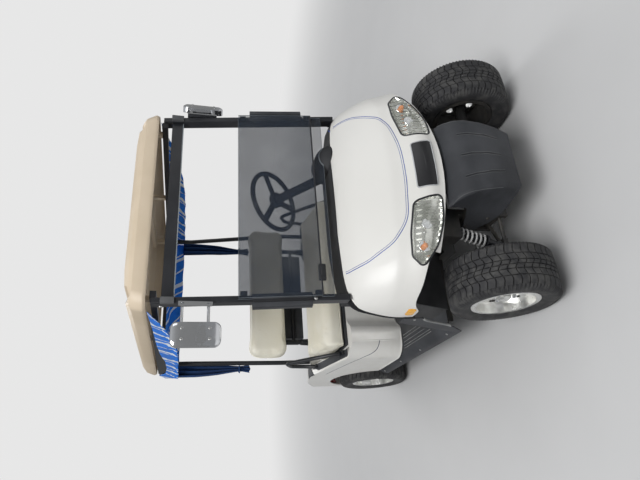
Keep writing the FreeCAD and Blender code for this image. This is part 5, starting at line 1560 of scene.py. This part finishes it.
cup = [(-0.001, 0.0001), (-0.001, 0.043), (0.005, 0.042), (0.006, 0.039), (0.001, 0.037), (0.001, 0.0001)]
fasciaDials = [               # form, x, z, line of (out, radius), steps
    ("rims", 0.118, 0.800, [(-0.001, 0.0001), (-0.001, 0.027), (0.004, 0.026), (0.005, 0.022), (0.0025, 0.021),
                            (0.0025, 0.0001)], 28),
    ("key", 0.350, 0.800, [(-0.001, 0.0001), (-0.001, 0.015), (0.005, 0.014), (0.006, 0.009), (0.006, 0.0001)], 28),
    ("switches", 0.350, 0.800, [(0.005, 0.0001), (0.005, 0.006), (0.013, 0.0055), (0.014, 0.0001)], 28),
    ("rims", -0.33, 0.795, cup, 40),
    ("rims", -0.215, 0.795, cup, 40),
]
rocker = (0.055, 0.800)


def fascia():
    # key switch, direction rocker, charge gauge and two cup wells on the dash
    tree = surfaceOf("dash_panel")
    finishOf = {"rims": "tube", "switches": "darkPlasticAndPaintedShade", "key": "steel"}
    forms = {name: bmesh.new() for name in finishOf}

    def spotAt(x, z):
        return castOn(tree, [(x, 0.0, z)], (0, -1, 0), 0.2)[0]
    for name, x, z, line, steps in fasciaDials:
        spot, normal = spotAt(x, z)
        dial = bmesh.new()
        addRevolved(dial, line, (0, 0, 0), 2, steps, closed=False)
        outward(dial)
        aim = normal.to_track_quat("Z", "Y").to_matrix().to_4x4()
        bmesh.ops.transform(dial, matrix=Matrix.Translation(spot) @ aim, verts=dial.verts)
        joined(forms[name], dial)
    spot, normal = spotAt(*rocker)
    addBlock(forms["rims"], spot + Vector((-0.018, -0.002, -0.026)), spot + Vector((0.018, 0.005, 0.026)), 0.003)
    addBlock(forms["switches"], spot + Vector((-0.011, 0.003, -0.018)), spot + Vector((0.011, 0.011, 0.018)), 0.003)
    for name, finish in finishOf.items():
        built("dash_" + name, forms[name], finish, "dash_panel")
    print("fascia")


# fasteners and the rear

def bothSides(*points):
    return [place for side in (-1, 1) for place in sided(points, side)]


def fasteners():
    # name, node, finish and rows of (points near the surface, way to it)
    head = screwHead(0.0085, 0.0055)
    back, down, up = (0, -1, 0), (0, 0, -1), (0, 0, 1)
    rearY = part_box("rear_bumper")[1].y
    rows = [("rear_bumper_bolts", "rear_bumper", "steel",
             [(bothSides((0.40, rearY, 0.3675), (0.18, rearY, 0.3675)), back)]),
            ("front_bumper_bolts", "front_bumper", "chassis",
             [([(side * 0.4, -0.93, 0.336), (side * 0.4, -1.00, 0.262)], (-side, 0, 0)) for side in (-1, 1)]),
            ("bag_deck_screws", "bag_well", "steel", [(bothSides((0.40, 0.574, 0.8), (0.255, 0.574, 0.8)), down)]),
            ("roof_rail_bolts", "roof_rails", "steel",
             [(bothSides((0.434, -0.50, 1.5), (0.434, -0.05, 1.5), (0.434, 0.40, 1.5)), up)]),
            ("post_bolts", "front_struts", "steel",
             [([(side * 0.7, -0.585, 1.62)], (-side, 0, 0)) for side in (-1, 1)]
             + [(bothSides((0.479, -0.72, 0.985)), (0, 1, 0))]),
            ("spring_bolts", "leaf_springs", "steel",
             [(bothSides(*((x, y, 0.6) for x in (0.288, 0.316) for y in (0.707, 0.751))), down)])]
    for name, node, finish, groups in rows:
        tree = surfaceOf(node)
        places = [place for points, ahead in groups for place in castOn(tree, points, ahead, 0.1)]
        seated(name, places, head, finish, node)
    print("fasteners")


tailSizes = {
    "round": 0.008,
    "lens": ((0.4375, 0.3975), (0.5165, 0.4505), 0.0035),      # corners and rise
    "window": ((0.446, 0.402), (0.470, 0.446), 0.005),
    "rings": [(0.0, 0.5), (0.002, 0.85), (0.006, 1.0), (0.0115, 1.0)],      # inset, share of the rise
}


def tailLamps():
    # moulded lens with a clear reversing window
    tree = surfaceOf("tail_lamps")
    refined("tail_lamps", "red")
    for name, key, finish in (("tail_lenses", "lens", "red"), ("tail_windows", "window", "lens")):
        low, high, rise = tailSizes[key]
        form = bmesh.new()
        for side in (-1, 1):
            rings = []
            for inset, out in [(0.0, -0.001)] + [(inset, rise * share) for inset, share in tailSizes["rings"]]:
                line = spread(plate(low, high, tailSizes["round"], inset), 60)
                path = castOn(tree, [(side * p.x, 1.2, p.y) for p in line], (0, -1, 0), 0.2)
                rings.append([spot + Vector((0, out, 0)) for spot, normal in path])
            addRings(form, rings, (False, True))
        built(name, form, finish, "tail_lamps", 40.0)
    print("tail lamps")


postTrim()
sillTrim()
bodyTrim()
coilSprings()
bumperTrim()
controls()
fascia()
fasteners()
tailLamps()
wheels()


# what CAD already gives its whole form

plainNodes = {
    "chassis": ("frame", "rear_axle", "leaf_springs", "rear_dampers", "control_arms", "seat_hinges", "knuckle_left",
                "knuckle_right"),
    "mat": ("floor_pan",),
    "plastic": ("side_sills", "front_bumper", "bag_well", "rear_bumper", "sweater_basket", "seat_base"),
    "paint": ("front_cowl", "rear_body"),
    # the dash panel's darker plastic is painted shade
    "darkPlasticAndPaintedShade": ("dash_panel", "steering_column", "pedals", "battery_pack", "windshield_clips", "steering_wheel"),
    "tube": ("front_struts", "header_bar", "roof_rails", "rear_struts", "seat_frame", "hip_restraints"),
    "roof": ("roof",),
    "amber": ("marker_lamps",),
    "steel": ("steering_rack",),
}
for finish, members in plainNodes.items():
    for node in members:
        piece = refined(node, finish, flat=0.05 if node == "rear_body" else 0.4)
        if node == "side_sills":
            # painted shade: the faces turned to the wheel take the rougher, darker plastic that stands in for the
            # shade in the wheel well
            repainted(piece, "darkPlasticAndPaintedShade", lambda face: face.normal.y < -0.3 and face.center.y < -0.45)
